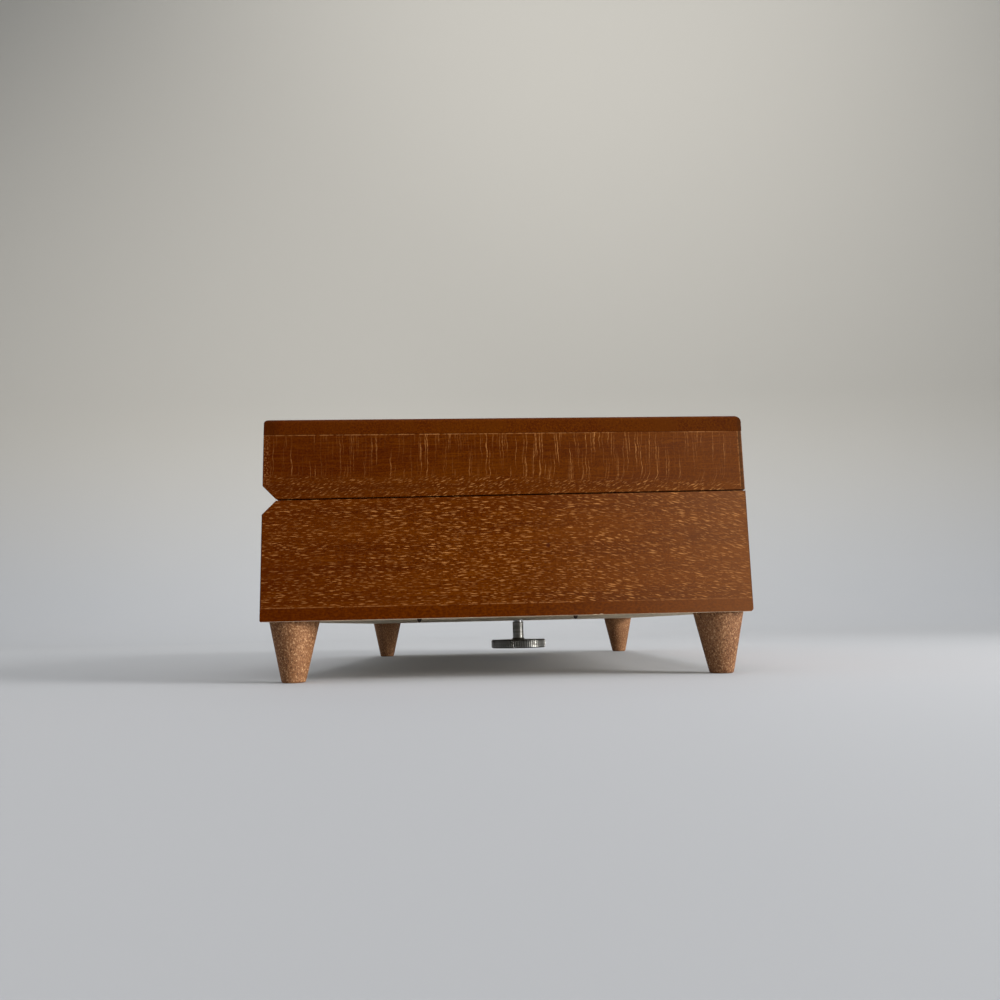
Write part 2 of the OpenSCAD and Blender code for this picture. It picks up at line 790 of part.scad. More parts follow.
// A post riveted in the bedplate, with an arm that holds the top of the worm's shaft
module governor_cock() {
    color(brass) on_floor() difference() {
        union() {
            translate([worm_x, cock_y, 0]) {
                translate([0, 0, 0.2]) cylinder(h = cock_z, r = cock_rivet_r);
                translate([0, 0, bedplate_t]) cylinder(h = cock_z + cock_t - bedplate_t, r = cock_post_r);
            }
            translate([worm_x, worm_y, cock_z]) {
                translate([-cock_post_r, 0, 0]) cube([2 * cock_post_r, cock_y - worm_y, cock_t]);
                cylinder(h = cock_t, r = cock_post_r);
            }
        }
        translate([0, 0, cock_z]) plate_hole(worm_x, worm_y, cock_t, governor_shaft_r + run_clear);
    }
}

// A bent strip with a hole through which the stop pin slides
module stop_guide() {
    guide_w = 4;
    foot_l = 5.8;
    back = stop_y + 4;
    color(brass) on_floor() {
        difference() {
            along_x(stop_x - guide_w / 2, guide_w) polygon([
                [stop_y - 2, guide_z], [stop_y - 2, guide_z + guide_t], [back, guide_z + guide_t],
                [back, bedplate_t], [back - guide_t, bedplate_t], [back - guide_t, guide_z],
            ]);
            translate([0, 0, guide_z]) plate_hole(stop_x, stop_y, guide_t, stop_r + run_clear);
        }
        bracket_foot(stop_x - guide_w / 2, back - guide_t, guide_w, foot_l, small_screw_places[3]);
    }
}

// A leaf spring that lifts the stop pin when the lid lets it go
module stop_spring() {
    start = small_screw_places[4][0] - 2;
    flat = 4;
    free = stop_x + 1.2;
    top = stop_low_z - 0.1;
    spring_w = 3.2;
    color(steel) on_floor() difference() {
        translate([0, stop_y + spring_w / 2, 0]) rotate([90, 0, 0]) linear_extrude(spring_w) polygon([
            [start, bedplate_t], [start + flat, bedplate_t], [free, top - spring_t],
            [free, top], [start + flat, bedplate_t + spring_t], [start, bedplate_t + spring_t],
        ]);
        plate_hole(small_screw_places[4][0], stop_y, 2 * bedplate_t, small_screw_r + set_clear);
    }
}

// Movement: winding

module winding_knob() {
    edge = 0.4;
    bore_r = arbor_thread_r + set_clear;
    function knurl(i) =
        (knob_r - (i % 2) * knurl_depth) * [cos(i * 180 / knurl_count), sin(i * 180 / knurl_count)];
    color(steel) translate([barrel_x, barrel_y, knob_z]) difference() {
        union() {
            intersection() {
                linear_extrude(knob_t) polygon([for (i = [0:2 * knurl_count - 1]) knurl(i)]);
                rotate_extrude() polygon([
                    [0, 0], [knob_r - edge, 0], [knob_r + edge, 2 * edge], [knob_r + edge, knob_t - 2 * edge],
                    [knob_r - edge, knob_t], [0, knob_t],
                ]);
            }
            cylinder(h = stem_top_z - knob_z, r = stem_r);
        }
        translate([0, 0, 1]) cylinder(h = knob_drop, r = bore_r);
    }
}

module winding_arbor() {
    low = knob_z + 1.2;
    shoulder = floor_z + bedplate_t + 0.2;
    core_top = floor_z + bedplate_t + housing_h - housing_top_t - 0.3;
    top = floor_z + crown_z + 1.6;
    color(steel) translate([barrel_x, barrel_y, 0]) rotate_extrude() polygon([
        [0, low], [arbor_thread_r, low], [arbor_thread_r, stem_top_z + 0.2], [arbor_r, stem_top_z + 0.2],
        [arbor_r, shoulder], [arbor_core_r, shoulder], [arbor_core_r, core_top],
        [arbor_top_r, core_top], [arbor_top_r, top], [0, top],
    ]);
}

hub_r = 3;
hub_top = crown_z + 0.2;

module arbor_clip() {
    color(dark_steel) on_floor() translate([0, 0, hub_top + 0.2]) difference() {
        cylinder(h = 0.8, r = arbor_top_r + 1.1);
        translate([0, 0, -through]) cylinder(h = 3 * through, r = arbor_top_r + set_clear);
    }
}

// Tooth widths, as shares of the pitch
crown_tooth_w = 0.40 * PI * crown_module;
pinion_leaf_w = 0.36 * PI * crown_module;

module great_wheel() {
    low = crown_z - crown_dedendum - 0.2;
    disc_z = crown_z - crown_dedendum - crown_disc_t;
    flank = crown_addendum * tan(20);
    foot = crown_dedendum * tan(20);
    color(brass) on_floor() difference() {
        union() {
            translate([0, 0, disc_z]) cylinder(h = crown_disc_t, r = crown_r + crown_ring_w / 2);
            translate([0, 0, disc_z]) cylinder(h = hub_top - disc_z, r = hub_r);
            for (i = [0:crown_teeth - 1]) rotate(i * 360 / crown_teeth)
                along_x(crown_r - crown_ring_w / 2, crown_ring_w - 0.05) polygon([
                    [-crown_tooth_w / 2 - foot, low], [crown_tooth_w / 2 + foot, low],
                    [crown_tooth_w / 2 - flank, crown_z + crown_addendum],
                    [flank - crown_tooth_w / 2, crown_z + crown_addendum],
                ]);
        }
        plate_hole(0, 0, cylinder_z, arbor_top_r + run_clear);
    }
}

// Movement: cylinder

cylinder_wall = 0.9;

// A wheel or pinion along X, with its first tooth turned to an angle from Y towards Z
module on_shaft(start, face, angle) {
    along_x(start, face) rotate(angle) children();
}

// Brass tube with its tune pins, whose tracks follow the tines of the comb
module tune_cylinder() {
    wall = cylinder_wall;
    pins_per_track = 5;
    // each track is turned on by the golden angle, and every other pin of a track by a little more
    golden = 137.5;
    late = 23;
    function pin_angle(i, k) = golden * i + 360 / pins_per_track * k + late * (k % 2);
    color(brass) on_floor() translate([cylinder_x, 0, cylinder_z]) {
        difference() {
            bar_x(0, cylinder_l, cylinder_r);
            bar_x(-through, cylinder_l + 2 * through, cylinder_r - wall);
        }
        for (i = [0:notes - 1], k = [0:pins_per_track - 1])
            translate([comb_pitch * (i + 0.5), 0, 0]) rotate([pin_angle(i, k), 0, 0])
                translate([0, 0, cylinder_r - wall / 2]) cylinder(h = wall / 2 + tune_pin_h, r = tune_pin_r);
    }
}

module cylinder_hubs() {
    hub_t = 1.5;
    sunk = 0.3;
    color(brass) on_floor() for (x = [cylinder_x + sunk, cylinder_x + cylinder_l - sunk - hub_t])
        translate([0, 0, cylinder_z]) difference() {
            bar_x(x, hub_t, cylinder_r - cylinder_wall - set_clear);
            bar_x(x - through, hub_t + 2 * through, cylinder_arbor_r + set_clear);
        }
}

module cylinder_arbor() {
    start = left_bracket_x - pinion_face - 0.8;
    color(steel) on_floor() translate([0, 0, cylinder_z])
        bar_x(start, right_bracket_x + bracket_t + 0.6 - start, cylinder_arbor_r);
}

module cylinder_pinion() {
    root = pinion_r - crown_dedendum;
    tip = pinion_r + crown_addendum;
    w = pinion_leaf_w;
    color(steel) on_floor() translate([0, 0, cylinder_z]) difference() {
        on_shaft(crown_r - pinion_face / 2, pinion_face, -90 + 180 / pinion_leaves)
            wheel_2d(pinion_leaves, root, pinion_r, tip, w * 0.8, w, w * 0.4);
        bar_x(0, 2 * crown_r, cylinder_arbor_r + set_clear);
    }
}

module cylinder_wheel() {
    pitch = PI * wheel_module;
    color(brass) on_floor() translate([0, 0, cylinder_z]) difference() {
        on_shaft(wheel_x, wheel_t, governor_angle)
            wheel_2d(wheel_teeth, wheel_r - wheel_dedendum, wheel_r, wheel_r + wheel_addendum,
                pitch * 0.53, pitch * 0.4, pitch * 0.15);
        bar_x(wheel_x - through, wheel_t + 2 * through, cylinder_arbor_r + set_clear);
    }
}

// Movement: governor

module governor_shaft() {
    start = wheel_x - 0.3;
    color(steel) on_floor() translate([0, governor_y, governor_z])
        bar_x(start, governor_plate_x + bracket_t + 0.4 - start, governor_shaft_r);
}

module governor_pinion() {
    pitch = PI * wheel_module;
    r = governor_pinion_r;
    color(steel) on_floor() translate([0, governor_y, governor_z]) difference() {
        on_shaft(wheel_x, wheel_t, governor_angle + 180 + 180 / governor_leaves)
            wheel_2d(governor_leaves, r - wheel_dedendum, r, r + leaf_addendum,
                pitch * 0.27, pitch * 0.34, pitch * 0.15);
        bar_x(wheel_x - through, wheel_t + 2 * through, governor_shaft_r + set_clear);
    }
}

// Slanted teeth on a plain hub, the first of them pointing back at the worm
module worm_wheel() {
    root = worm_wheel_r - worm_dedendum;
    tooth_w = 0.36 * worm_pitch;
    color(brass) on_floor() translate([worm_x, governor_y, governor_z]) difference() {
        union() {
            bar_x(-worm_wheel_face / 2, worm_wheel_face, root);
            for (i = [0:worm_teeth - 1]) rotate([i * 360 / worm_teeth, 0, 0]) rotate([0, -worm_angle, 0])
                along_x(-worm_wheel_face / 2, worm_wheel_face) tooth_2d(root, worm_wheel_r,
                    worm_wheel_r + worm_addendum, tooth_w * 1.4, tooth_w, tooth_w * 0.5);
        }
        bar_x(-worm_wheel_face, 2 * worm_wheel_face, governor_shaft_r + set_clear);
    }
}

// The worm is cut in its shaft: a two start thread, as a pair of lobes twisted along it
module worm_shaft() {
    points = 24;
    slices = 30;
    low = 0.6;
    root = worm_r - worm_dedendum;
    tip = worm_r + worm_addendum;
    turn = -360 * worm_l / worm_lead;
    // at the height of the wheel's axis a gap between threads faces the wheel
    phase = turn / 2 - 90 + 180 / worm_starts;
    // height of the thread at a share of its pitch, counted from the middle of a thread
    function lift(s) = let (away = abs(s - round(s))) max(0, min(1, (0.34 - away) / 0.2));
    function lobe_r(i) = root + (tip - root) * lift(worm_starts * i / points);
    function lobe(i) = lobe_r(i) * [cos(i * 360 / points), sin(i * 360 / points)];
    color(steel) on_floor() translate([worm_x, worm_y, 0]) {
        translate([0, 0, low]) cylinder(h = cock_z + cock_t - 0.2 - low, r = governor_shaft_r);
        translate([0, 0, governor_z - worm_l / 2]) rotate(phase)
            linear_extrude(worm_l, twist = turn, slices = slices, segments = points)
                polygon([for (i = [0:points - 1]) lobe(i)]);
    }
}

module fan() {
    blade_t = 0.5;
    hub = 1.2;
    color(dark_steel) on_floor() translate([worm_x, worm_y, fan_z]) difference() {
        union() {
            cylinder(h = fan_h, r = hub);
            intersection() {
                translate([-fan_r, -blade_t / 2, 0]) cube([2 * fan_r, blade_t, fan_h]);
                cylinder(h = fan_h, r = fan_r);
            }
        }
        translate([0, 0, -through]) cylinder(h = fan_h + 2 * through, r = governor_shaft_r + set_clear);
    }
}

module stop_pin() {
    top = lid_z - 0.3 - floor_z;
    finger_l = worm_x - stop_x - fan_r - move_clear;
    color(steel) on_floor() translate([stop_x, stop_y, 0]) {
        translate([0, 0, stop_low_z]) cylinder(h = top - stop_low_z, r = stop_r);
        translate([0, 0, stop_finger_z]) bar_x(0, finger_l, stop_finger_r);
    }
}

bottom_board();
base_front();
base_back();
base_left_end();
base_right_end();
partition();
glass_ledges();
glass_cover();
felt_lining();
foot_front_left();
foot_front_right();
foot_back_left();
foot_back_right();
bottom_pins();
lid_top();
lid_front();
lid_back();
lid_left_end();
lid_right_end();
lid_dowel();
left_hinge_base_leaf();
right_hinge_base_leaf();
left_hinge_lid_leaf();
right_hinge_lid_leaf();
hinge_pins();
hinge_base_screws();
hinge_lid_screws();
bedplate();
spring_housing();
mainspring();
comb_base();
comb();
comb_screws();
left_bracket();
right_bracket();
governor_plate();
governor_cock();
stop_guide();
stop_spring();
bracket_screws();
movement_screws();
winding_knob();
winding_arbor();
arbor_clip();
great_wheel();
tune_cylinder();
cylinder_hubs();
cylinder_arbor();
cylinder_pinion();
cylinder_wheel();
governor_shaft();
governor_pinion();
worm_wheel();
worm_shaft();
fan();
stop_pin();
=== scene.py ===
# %% [markdown]
# # A stained beech music box
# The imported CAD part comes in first, as a fixed frame in metres. Its boards and movement are
# already the right shape, so this lesson dresses them: soft edges, wood figure, metal, felt and
# glass. Everything that is added is placed by the boxes of the CAD pieces.

# %% The fixed frame
import json
import math
from types import SimpleNamespace

import bmesh
import bpy
from mathutils import Matrix, Vector


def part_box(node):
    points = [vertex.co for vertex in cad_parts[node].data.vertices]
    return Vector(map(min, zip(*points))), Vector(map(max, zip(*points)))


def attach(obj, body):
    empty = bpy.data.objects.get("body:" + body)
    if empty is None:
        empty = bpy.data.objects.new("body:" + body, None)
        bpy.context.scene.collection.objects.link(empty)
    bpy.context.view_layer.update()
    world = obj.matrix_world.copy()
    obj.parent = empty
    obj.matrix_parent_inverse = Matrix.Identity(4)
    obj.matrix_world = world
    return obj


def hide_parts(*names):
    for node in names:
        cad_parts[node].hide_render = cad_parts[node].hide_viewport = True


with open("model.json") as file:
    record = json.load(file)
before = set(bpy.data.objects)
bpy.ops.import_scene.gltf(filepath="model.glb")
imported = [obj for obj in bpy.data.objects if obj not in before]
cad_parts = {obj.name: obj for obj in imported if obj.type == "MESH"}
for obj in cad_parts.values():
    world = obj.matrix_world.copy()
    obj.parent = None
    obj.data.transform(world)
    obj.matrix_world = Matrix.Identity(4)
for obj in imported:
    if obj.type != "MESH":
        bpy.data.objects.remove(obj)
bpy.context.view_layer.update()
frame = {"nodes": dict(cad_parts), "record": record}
nodes = frame["nodes"]
MM = 0.001

# %% [markdown]
# ## Camera
# The box is seen square on to one end, from a little above the floor and looking slightly up, so
# the edge of the bottom board, the feet and the knob all show. The place and direction were found
# by matching the corners of the case and the four soles with the photograph. The lens is given as
# that match gives it, in pixels of a square picture.

# %% Camera
PICTURE_PX = 1000
FOCAL_PX = 818
SENSOR_MM = 36
eye = Vector((-0.2821, 0.00226, 0.01238))
ahead = Vector((0.98846, -0.0064, 0.15133)).normalized()
over = Vector((-0.15145, -0.02168, 0.98823))
right = ahead.cross(over).normalized()
over = right.cross(ahead)
turn = Matrix((right, over, -ahead)).transposed().to_4x4()

lens = bpy.data.cameras.new("camera")
lens.sensor_width = SENSOR_MM
lens.lens = FOCAL_PX * SENSOR_MM / PICTURE_PX
lens.clip_start = 5 * MM
camera = bpy.data.objects.new("camera", lens)
camera.matrix_world = Matrix.Translation(eye) @ turn
bpy.context.scene.collection.objects.link(camera)
bpy.context.scene.camera = camera
print("camera: lens", round(lens.lens, 1), "mm,", round(eye.z / MM, 1), "mm above the floor")

# %% [markdown]
# ## Writing shader maths as Python
# A finish is a small sum: grain plus flecks times wear. Wiring such sums by hand hides them, so one
# class holds a socket and turns +, -, * and / into Math nodes. Its make method adds any other node:
# settings are set first, because they can change which sockets the node has.


# %% One wire of a finish
class Wire:
    def __init__(self, tree, socket=None):
        self.tree = tree
        self.socket = socket

    def make(self, kind, settings=None, sockets=None, out=0):
        node = self.tree.nodes.new(kind)
        for name, value in (settings or {}).items():
            setattr(node, name, value)
        for name, value in (sockets or {}).items():
            if isinstance(value, Wire):
                self.tree.links.new(value.socket, node.inputs[name])
            else:
                node.inputs[name].default_value = value
        return Wire(self.tree, node.outputs[out])

    def maths(self, operation, first, second=0.0):
        return self.make("ShaderNodeMath", {"operation": operation}, {0: first, 1: second})

    def __add__(self, other):
        return self.maths("ADD", self, other)

    def __radd__(self, other):
        return self.maths("ADD", other, self)

    def __sub__(self, other):
        return self.maths("SUBTRACT", self, other)

    def __rsub__(self, other):
        return self.maths("SUBTRACT", other, self)

    def __mul__(self, other):
        return self.maths("MULTIPLY", self, other)

    def __rmul__(self, other):
        return self.maths("MULTIPLY", other, self)

    def __truediv__(self, other):
        return self.maths("DIVIDE", self, other)

    def __rtruediv__(self, other):
        return self.maths("DIVIDE", other, self)

    def __abs__(self):
        return self.maths("ABSOLUTE", self)

    def least(self, other):
        return self.maths("MINIMUM", self, other)

    def most(self, other):
        return self.maths("MAXIMUM", self, other)

    def other(self, name):
        return Wire(self.tree, self.socket.node.outputs[name])

    def step(self, low, high):
        settings = {"interpolation_type": "SMOOTHSTEP"}
        return self.make("ShaderNodeMapRange", settings, {0: self, 1: low, 2: high, 3: 0.0, 4: 1.0})

    def mix(self, first, second):
        return self.make("ShaderNodeMix", {"data_type": "RGBA"}, {0: self, 6: first, 7: second}, 2)


print("wire: ready")

# %% [markdown]
# ## A finish and its coordinates
# Each finish starts from Object coordinates. The pieces sit at the origin with their place in their
# mesh, so these are plain metres in the part's own frame, and a pattern can be given its true size:
# a noise scale of 2000 has features of about half a millimetre. Colours are noted as they are seen,
# from 0 to 255, and turned into the linear light that a shader reckons with.


# %% Colours as they are seen
def srgb(red, green, blue):
    def linear(value):
        value = value / 255
        return value / 12.92 if value <= 0.04045 else ((value + 0.055) / 1.055) ** 2.4

    return (linear(red), linear(green), linear(blue), 1.0)


print("a middle grey of 128 is", round(srgb(128, 128, 128)[0], 3), "in linear light")


# %% Starting a finish
EVEN = (0.3, 0.7)


def new_finish(name):
    material = bpy.data.materials.new(name)
    material.use_nodes = True
    shader = material.node_tree.nodes["Principled BSDF"]
    return material, shader, Wire(material.node_tree)


def places(wire):
    point = wire.make("ShaderNodeTexCoord", out=3)
    parts = [wire.make("ShaderNodeSeparateXYZ", sockets={0: point}, out=i) for i in range(3)]
    return point, parts


def stretched(wire, u, v, w, scale):
    point = wire.make("ShaderNodeCombineXYZ", sockets={0: u, 1: v, 2: w})
    return wire.make("ShaderNodeVectorMath", {"operation": "MULTIPLY"}, {0: point, 1: scale})


def flat_length(wire, x, y):
    flat = stretched(wire, x, y, 0.0, (1, 1, 0))
    return wire.make("ShaderNodeVectorMath", {"operation": "LENGTH"}, {0: flat}, 1)


def noise(wire, point, scale=1.0, detail=2.0, rough=0.5):
    sockets = {"Vector": point, "Scale": scale, "Detail": detail, "Roughness": rough}
    return wire.make("ShaderNodeTexNoise", None, sockets)


print("an even spread of a noise runs from", EVEN[0], "to", EVEN[1])


# %% Feeding the shader
def feed(wire, socket, value):
    wire.tree.links.new(value.socket, socket)


def bump(wire, shader, height, depth, strength=1.0):
    sockets = {"Height": height, "Distance": depth, "Strength": strength}
    feed(wire, shader.inputs["Normal"], wire.make("ShaderNodeBump", None, sockets))


print("finish helpers: ready")

# %% [markdown]
# ## Colours of the wood
# The case is beech, a pale wood, under a brown stain and an old varnish. The varnish is amber, so it
# tints what little the wood mirrors. Each colour is named for what it is on the wood, or for the
# painted shade or painted light it stands in for, so that a layer further down reads like a recipe.

# %% Colours of the wood
STAIN_DARK = srgb(66, 20, 0)
STAIN_MID = srgb(92, 40, 0)
STAIN_LIGHT = srgb(108, 54, 2)
# Painted shade for the hinge side, and a faded brown with painted light for the front side:
STAIN_PAINTED_SHADE = srgb(66, 14, 0)
STAIN_FADED_AND_LIT = srgb(150, 106, 72)
STAIN_DEEP = srgb(52, 20, 2)
STAIN_AGED = srgb(50, 28, 14)
FLECK = srgb(178, 120, 66)
PORE = srgb(48, 10, 0)
KNOT = srgb(52, 10, 8)
END_GRAIN = srgb(38, 17, 6)
END_PALE = srgb(82, 45, 20)
WORN = srgb(166, 112, 64)
AMBER = (1.0, 0.6, 0.2, 1.0)
GLOSS = 0.07


def varnish(shader):
    shader.inputs["Specular IOR Level"].default_value = GLOSS
    shader.inputs["Specular Tint"].default_value = AMBER


print("wood colours: stains, flecks, pores, end grain and wear")

# %% [markdown]
# ## Ray flecks and pores
# Beech is told by its ray flecks: short lens-shaped dashes, paler than the stained wood round them.
# They could be modelled one by one or painted on a picture, but a pattern that knows its own size
# serves every board. A Voronoi cell stretched along the grain holds one fleck, as long and as thin as
# the cell is. Rows are pushed along by a noise, so that the flecks don't line up, and a chance for
# each cell makes some of them small and faint. Pores are the same cells in a dark colour.

# %% Ray flecks
CELLS = {"voronoi_dimensions": "2D", "feature": "F1"}
ROW_PUSH = 1.6


def flecks(wire, u, v, length, height, seed, size=0.3):
    rows = stretched(wire, u + seed, v, seed, (90 / length, 800 / height, 0))
    push = noise(wire, rows, detail=1)
    along = (u + seed) * (1 / (MM * length)) + (push - 0.5) * ROW_PUSH
    across = (v + 0.37 * seed) * (1 / (MM * height))
    point = wire.make("ShaderNodeCombineXYZ", None, {0: along, 1: across})
    near = wire.make("ShaderNodeTexVoronoi", CELLS, {"Vector": point, "Scale": 1.0})
    chance = wire.make("ShaderNodeSeparateColor", None, {0: near.other("Color")})
    reach = near / (chance * 0.9 + 0.35)
    strength = chance.other("Green").step(0.2, 0.9) * 0.75 + 0.25
    return (1 - reach.step(size * 0.3, size)) * strength


print("flecks: one to a cell, rows pushed up to", ROW_PUSH / 2, "cells")

# %% [markdown]
# ## End grain
# Where a board is cut across, the open ends of its fibres drink the stain and go dark. Growth rings
# cross the cut as soft bands, with fine rays and pores between them, so three noises of three
# shapes are laid together: long ones for the bands, upright ones for the rays, round ones for pores.

# %% End grain
RAYS = (2800, 900, 700)
BANDS = (110, 110, 1300)
DOTS = (2600, 2600, 2600)
BAND_TILT = 0.4


def end_grain(wire, parts, seed):
    x, y, z = parts
    rays = noise(wire, stretched(wire, x + seed, y, z, RAYS), detail=1)
    bands = noise(wire, stretched(wire, x + seed, y, z + x * BAND_TILT, BANDS), detail=2)
    dots = noise(wire, stretched(wire, x, y, z, DOTS), detail=1)
    pale = (rays * 0.35 + bands * 0.65).step(0.38, 0.64) * 0.85
    pale = pale * (1 - (1 - dots.step(0.34, 0.46)) * 0.6)
    return pale.mix(END_GRAIN, END_PALE)


print("end grain: bands about", round(1 / (BANDS[2] * MM), 1), "mm apart")

# %% [markdown]
# ## Streaks
# The lid's boards were cut on another face of the log, where the rays show as thin upright streaks.
# They crowd together left of the middle and lean over towards the rim. So the same flecks are
# turned upright and made very long, bent by a square law near the rim, and broken up by small dots.

# %% Streaks
STREAK = 24
LEAN_FROM = 5.5 * MM
LEAN = 90
CROWD_MIDDLE = 12 * MM


def streaks(wire, u, v, low, seed):
    lean = (low + LEAN_FROM - v).most(0)
    wave = noise(wire, stretched(wire, u, v, seed, (220, 330, 1)), detail=2)
    across = u - lean * lean * LEAN + (wave - 0.5) * (1.1 * MM)
    crowd = noise(wire, stretched(wire, u + seed, v, seed, (46, 14, 1)), detail=1)
    middle = 1 - abs(u + CROWD_MIDDLE).step(10 * MM, 42 * MM)
    close = flecks(wire, v, across, STREAK, 0.55, seed)
    wide = flecks(wire, v, across, STREAK, 0.9, seed + 0.19, 0.22)
    dots = noise(wire, stretched(wire, u, v, seed, (1500, 1300, 1)), detail=1)
    crowded = close * crowd.step(0.4, 0.6) * (middle + 0.45)
    return crowded.most(wide * 0.7) * (dots.step(0.3, 0.62) * 0.7 + 0.3)


print("streaks: leaning over in the last", LEAN_FROM / MM, "mm")

# %% [markdown]
# ## Worn joints
# The stain has worn off in a broken pale line at the joint under the lid's top, and where the base
# meets its bottom board. The lid's top slopes a little to the front, so that joint is a line in y.
# The line is a distance from the joint, and two noises break it up: one for the rubbing, one for the
# stretches where it is gone.

# %% Worn joints
LID_FRONT = 14.3 * MM
LID_SLOPE = 1.4 / 115
lid_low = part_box("lid_left_end")[0]


def worn_joint(wire, parts, low, lid):
    x, y, z = parts
    gap = z - low.z
    if lid:
        gap = (y - lid_low.y) * LID_SLOPE + (lid_low.z + LID_FRONT) - z
    rub = noise(wire, stretched(wire, x, y, z, (700, 700, 300)), detail=3, rough=0.65)
    gone = noise(wire, stretched(wire, x, y, z, (60, 60, 60)), detail=2)
    line = 1 - gap.step(0.14 * MM, 0.36 * MM)
    return line * (rub.step(0.36, 0.56) * gone.step(0.34, 0.6))


print("lid slope:", round(math.degrees(math.atan(LID_SLOPE)), 2), "degrees")

# %% [markdown]
# ## One board and its noises
# A finish is easier to follow as a pile of layers. Each board first gets what its layers share: its
# box, its coordinates, which run along the grain, across it in the face and into the wood, and its
# noises, from slow waves of the grain down to grit. One small record holds them.

# %% One board and its noises
SLOW_WAVE = (26, 70, 70)
FIBRE = (170, 2600, 2600)
TONE = (20, 170, 170)
GRIT = 2100
WANDER = 3 * MM


def start_board(name, grain, box, seed, figure):
    low, high = box
    material, shader, wire = new_finish(name)
    point, parts = places(wire)
    first = "XYZ".index(grain[0])
    u, v, w = [parts["XYZ".index(axis)] for axis in grain]
    slow = noise(wire, stretched(wire, u + seed, v, w, SLOW_WAVE), detail=2)
    bend = v + (slow - 0.5) * WANDER
    fibre = noise(wire, stretched(wire, u + seed, bend, w, FIBRE), detail=3)
    tone = noise(wire, stretched(wire, u + 2 * seed, bend, w, TONE), detail=3)
    grit = noise(wire, point, GRIT, 2)
    inner = (u - low[first]).least(high[first] - u).step(0.1 * MM, 0.3 * MM)
    return SimpleNamespace(
        name=name, figure=figure, seed=seed, low=low, high=high, material=material, shader=shader,
        wire=wire, point=point, parts=parts, u=u, v=v, w=w, slow=slow, bend=bend, fibre=fibre,
        tone=tone, grit=grit, inner=inner, lid=name.startswith("beech_lid"),
        base=name.startswith("beech_base"), end=grain == "YZX",
    )


print("boards wander up to", WANDER / MM / 2, "mm across the grain")

# %% [markdown]
# ## The figure
# The base shows dashes that slant into the wood and curve a little towards the front. The lid shows
# streaks above and a row of short leaning dashes along its rim. The top board and the ledges are
# nearly plain. Slow patches make the figure stronger in some places than in others.

# %% The figure
SLANT = 0.83
LID_LEAN = 0.34
CURVE_FROM = 8 * MM
CURVE = 2.2
DASHES = (3.3, 2.1)
RIM_DASHES = (2.2, 1.5)
RIM_LOW = 3.0 * MM
RIM_HIGH = 4.6 * MM


def fleck_slant(board):
    if board.figure == "streaks":
        return board.bend + board.w * SLANT + board.u * LID_LEAN
    slant = board.bend + board.w * (SLANT if board.lid else -SLANT)
    if board.end:
        front = (board.parts[1] - CURVE_FROM).least(0)
        slant = slant + front * front * CURVE
    return slant


def fleck_mark(board, slant):
    wire, u, v, low = board.wire, board.u, board.v, board.low
    x, y, z = board.parts
    long, short = RIM_DASHES if board.figure == "streaks" else DASHES
    dash = flecks(wire, u, slant, long, 0.52, board.seed)
    fine = flecks(wire, u, slant, short, 0.42, board.seed + 0.37, 0.28)
    mark = dash.most(fine * 0.75) * board.inner
    if board.figure == "plain":
        mark = mark * 0.3
    if board.figure == "streaks":
        line = z - y * 0.04 + (board.slow - 0.5) * (4 * MM) if board.end else z
        upper = line.step(low.z + RIM_LOW, low.z + RIM_HIGH)
        mark = upper * streaks(wire, u, v, low.z, board.seed) + (1 - upper) * mark
    patches = noise(wire, stretched(wire, u, v, board.w, (40, 130, 90)), detail=2)
    return mark * (patches.step(0.3, 0.6) * 0.5 + 0.5)


print("figure: dashes of", DASHES[0], "mm on the base,", RIM_DASHES[0], "mm along the lid's rim")

# %% [markdown]
# ## The stain
# Stain follows the fibres: dark and middle browns in slow tones and grit, lighter along the fibres,
# dark again in the late wood of each ring, and darkest in the pores.

# %% The stain
RINGS = (7, 300, 300)
PORE_LENGTH = 2.4


def stain_colour(board, slant):
    wire, u, seed = board.wire, board.u, board.seed
    stain = (board.tone * 0.5 + board.grit * 0.5).step(0.36, 0.64).mix(STAIN_DARK, STAIN_MID)
    stain = (board.fibre.step(0.42, 0.75) * 0.6).mix(stain, STAIN_LIGHT)
    late = stretched(wire, u + 3 * seed, board.bend, board.w, RINGS)
    rings = noise(wire, late, detail=3, rough=0.6)
    stain = (rings.step(0.52, 0.66) * board.inner * 0.4).mix(stain, STAIN_DARK)
    pores = flecks(wire, u, slant, PORE_LENGTH, 0.5, seed + 0.71, 0.28) * board.inner
    return (pores * 0.5).mix(stain, PORE)


print("stain: pores", PORE_LENGTH, "mm long")

# %% [markdown]
# ## Ends, edges and a knot
# At its front the lid's end board shows a dark upright strip of end grain, with a pale rubbed line
# beside it, and its hinge end is rubbed in specks. The base's end boards are dark only at the very
# edge. One small dark knot sits in the near end of the base.

# %% Ends, edges and a knot
STRIP = 0.98 * MM
KNOT_PLACE = (-0.01007, 0.0308)


def lid_strip(board, colour, worn):
    y = board.parts[1]
    reach = y - board.low.y - STRIP
    strip = 1 - reach.step(-0.12 * MM, 0.05 * MM)
    line = reach.step(-0.1 * MM, 0.05 * MM) * (1 - reach.step(0.05 * MM, 0.3 * MM))
    cut = end_grain(board.wire, board.parts, board.seed)
    colour = (strip * (0.98 - board.grit * 0.2)).mix(colour, cut)
    hinge_end = 1 - (board.high.y - y).step(0.3 * MM, 2.2 * MM)
    specks = board.grit.step(0.5, 0.62) * board.inner * hinge_end
    rubbed = line * board.grit.step(0.36, 0.6) * 0.8
    return colour, (worn * (1 - strip)).most(rubbed).most(specks * 0.9)


def base_edges(board, colour):
    y = board.parts[1]
    edge = 1 - (y - board.low.y).least(board.high.y - y).step(0.12 * MM, 0.42 * MM)
    cut = end_grain(board.wire, board.parts, board.seed)
    return (edge * (0.9 - board.grit * 0.3)).mix(colour, cut)


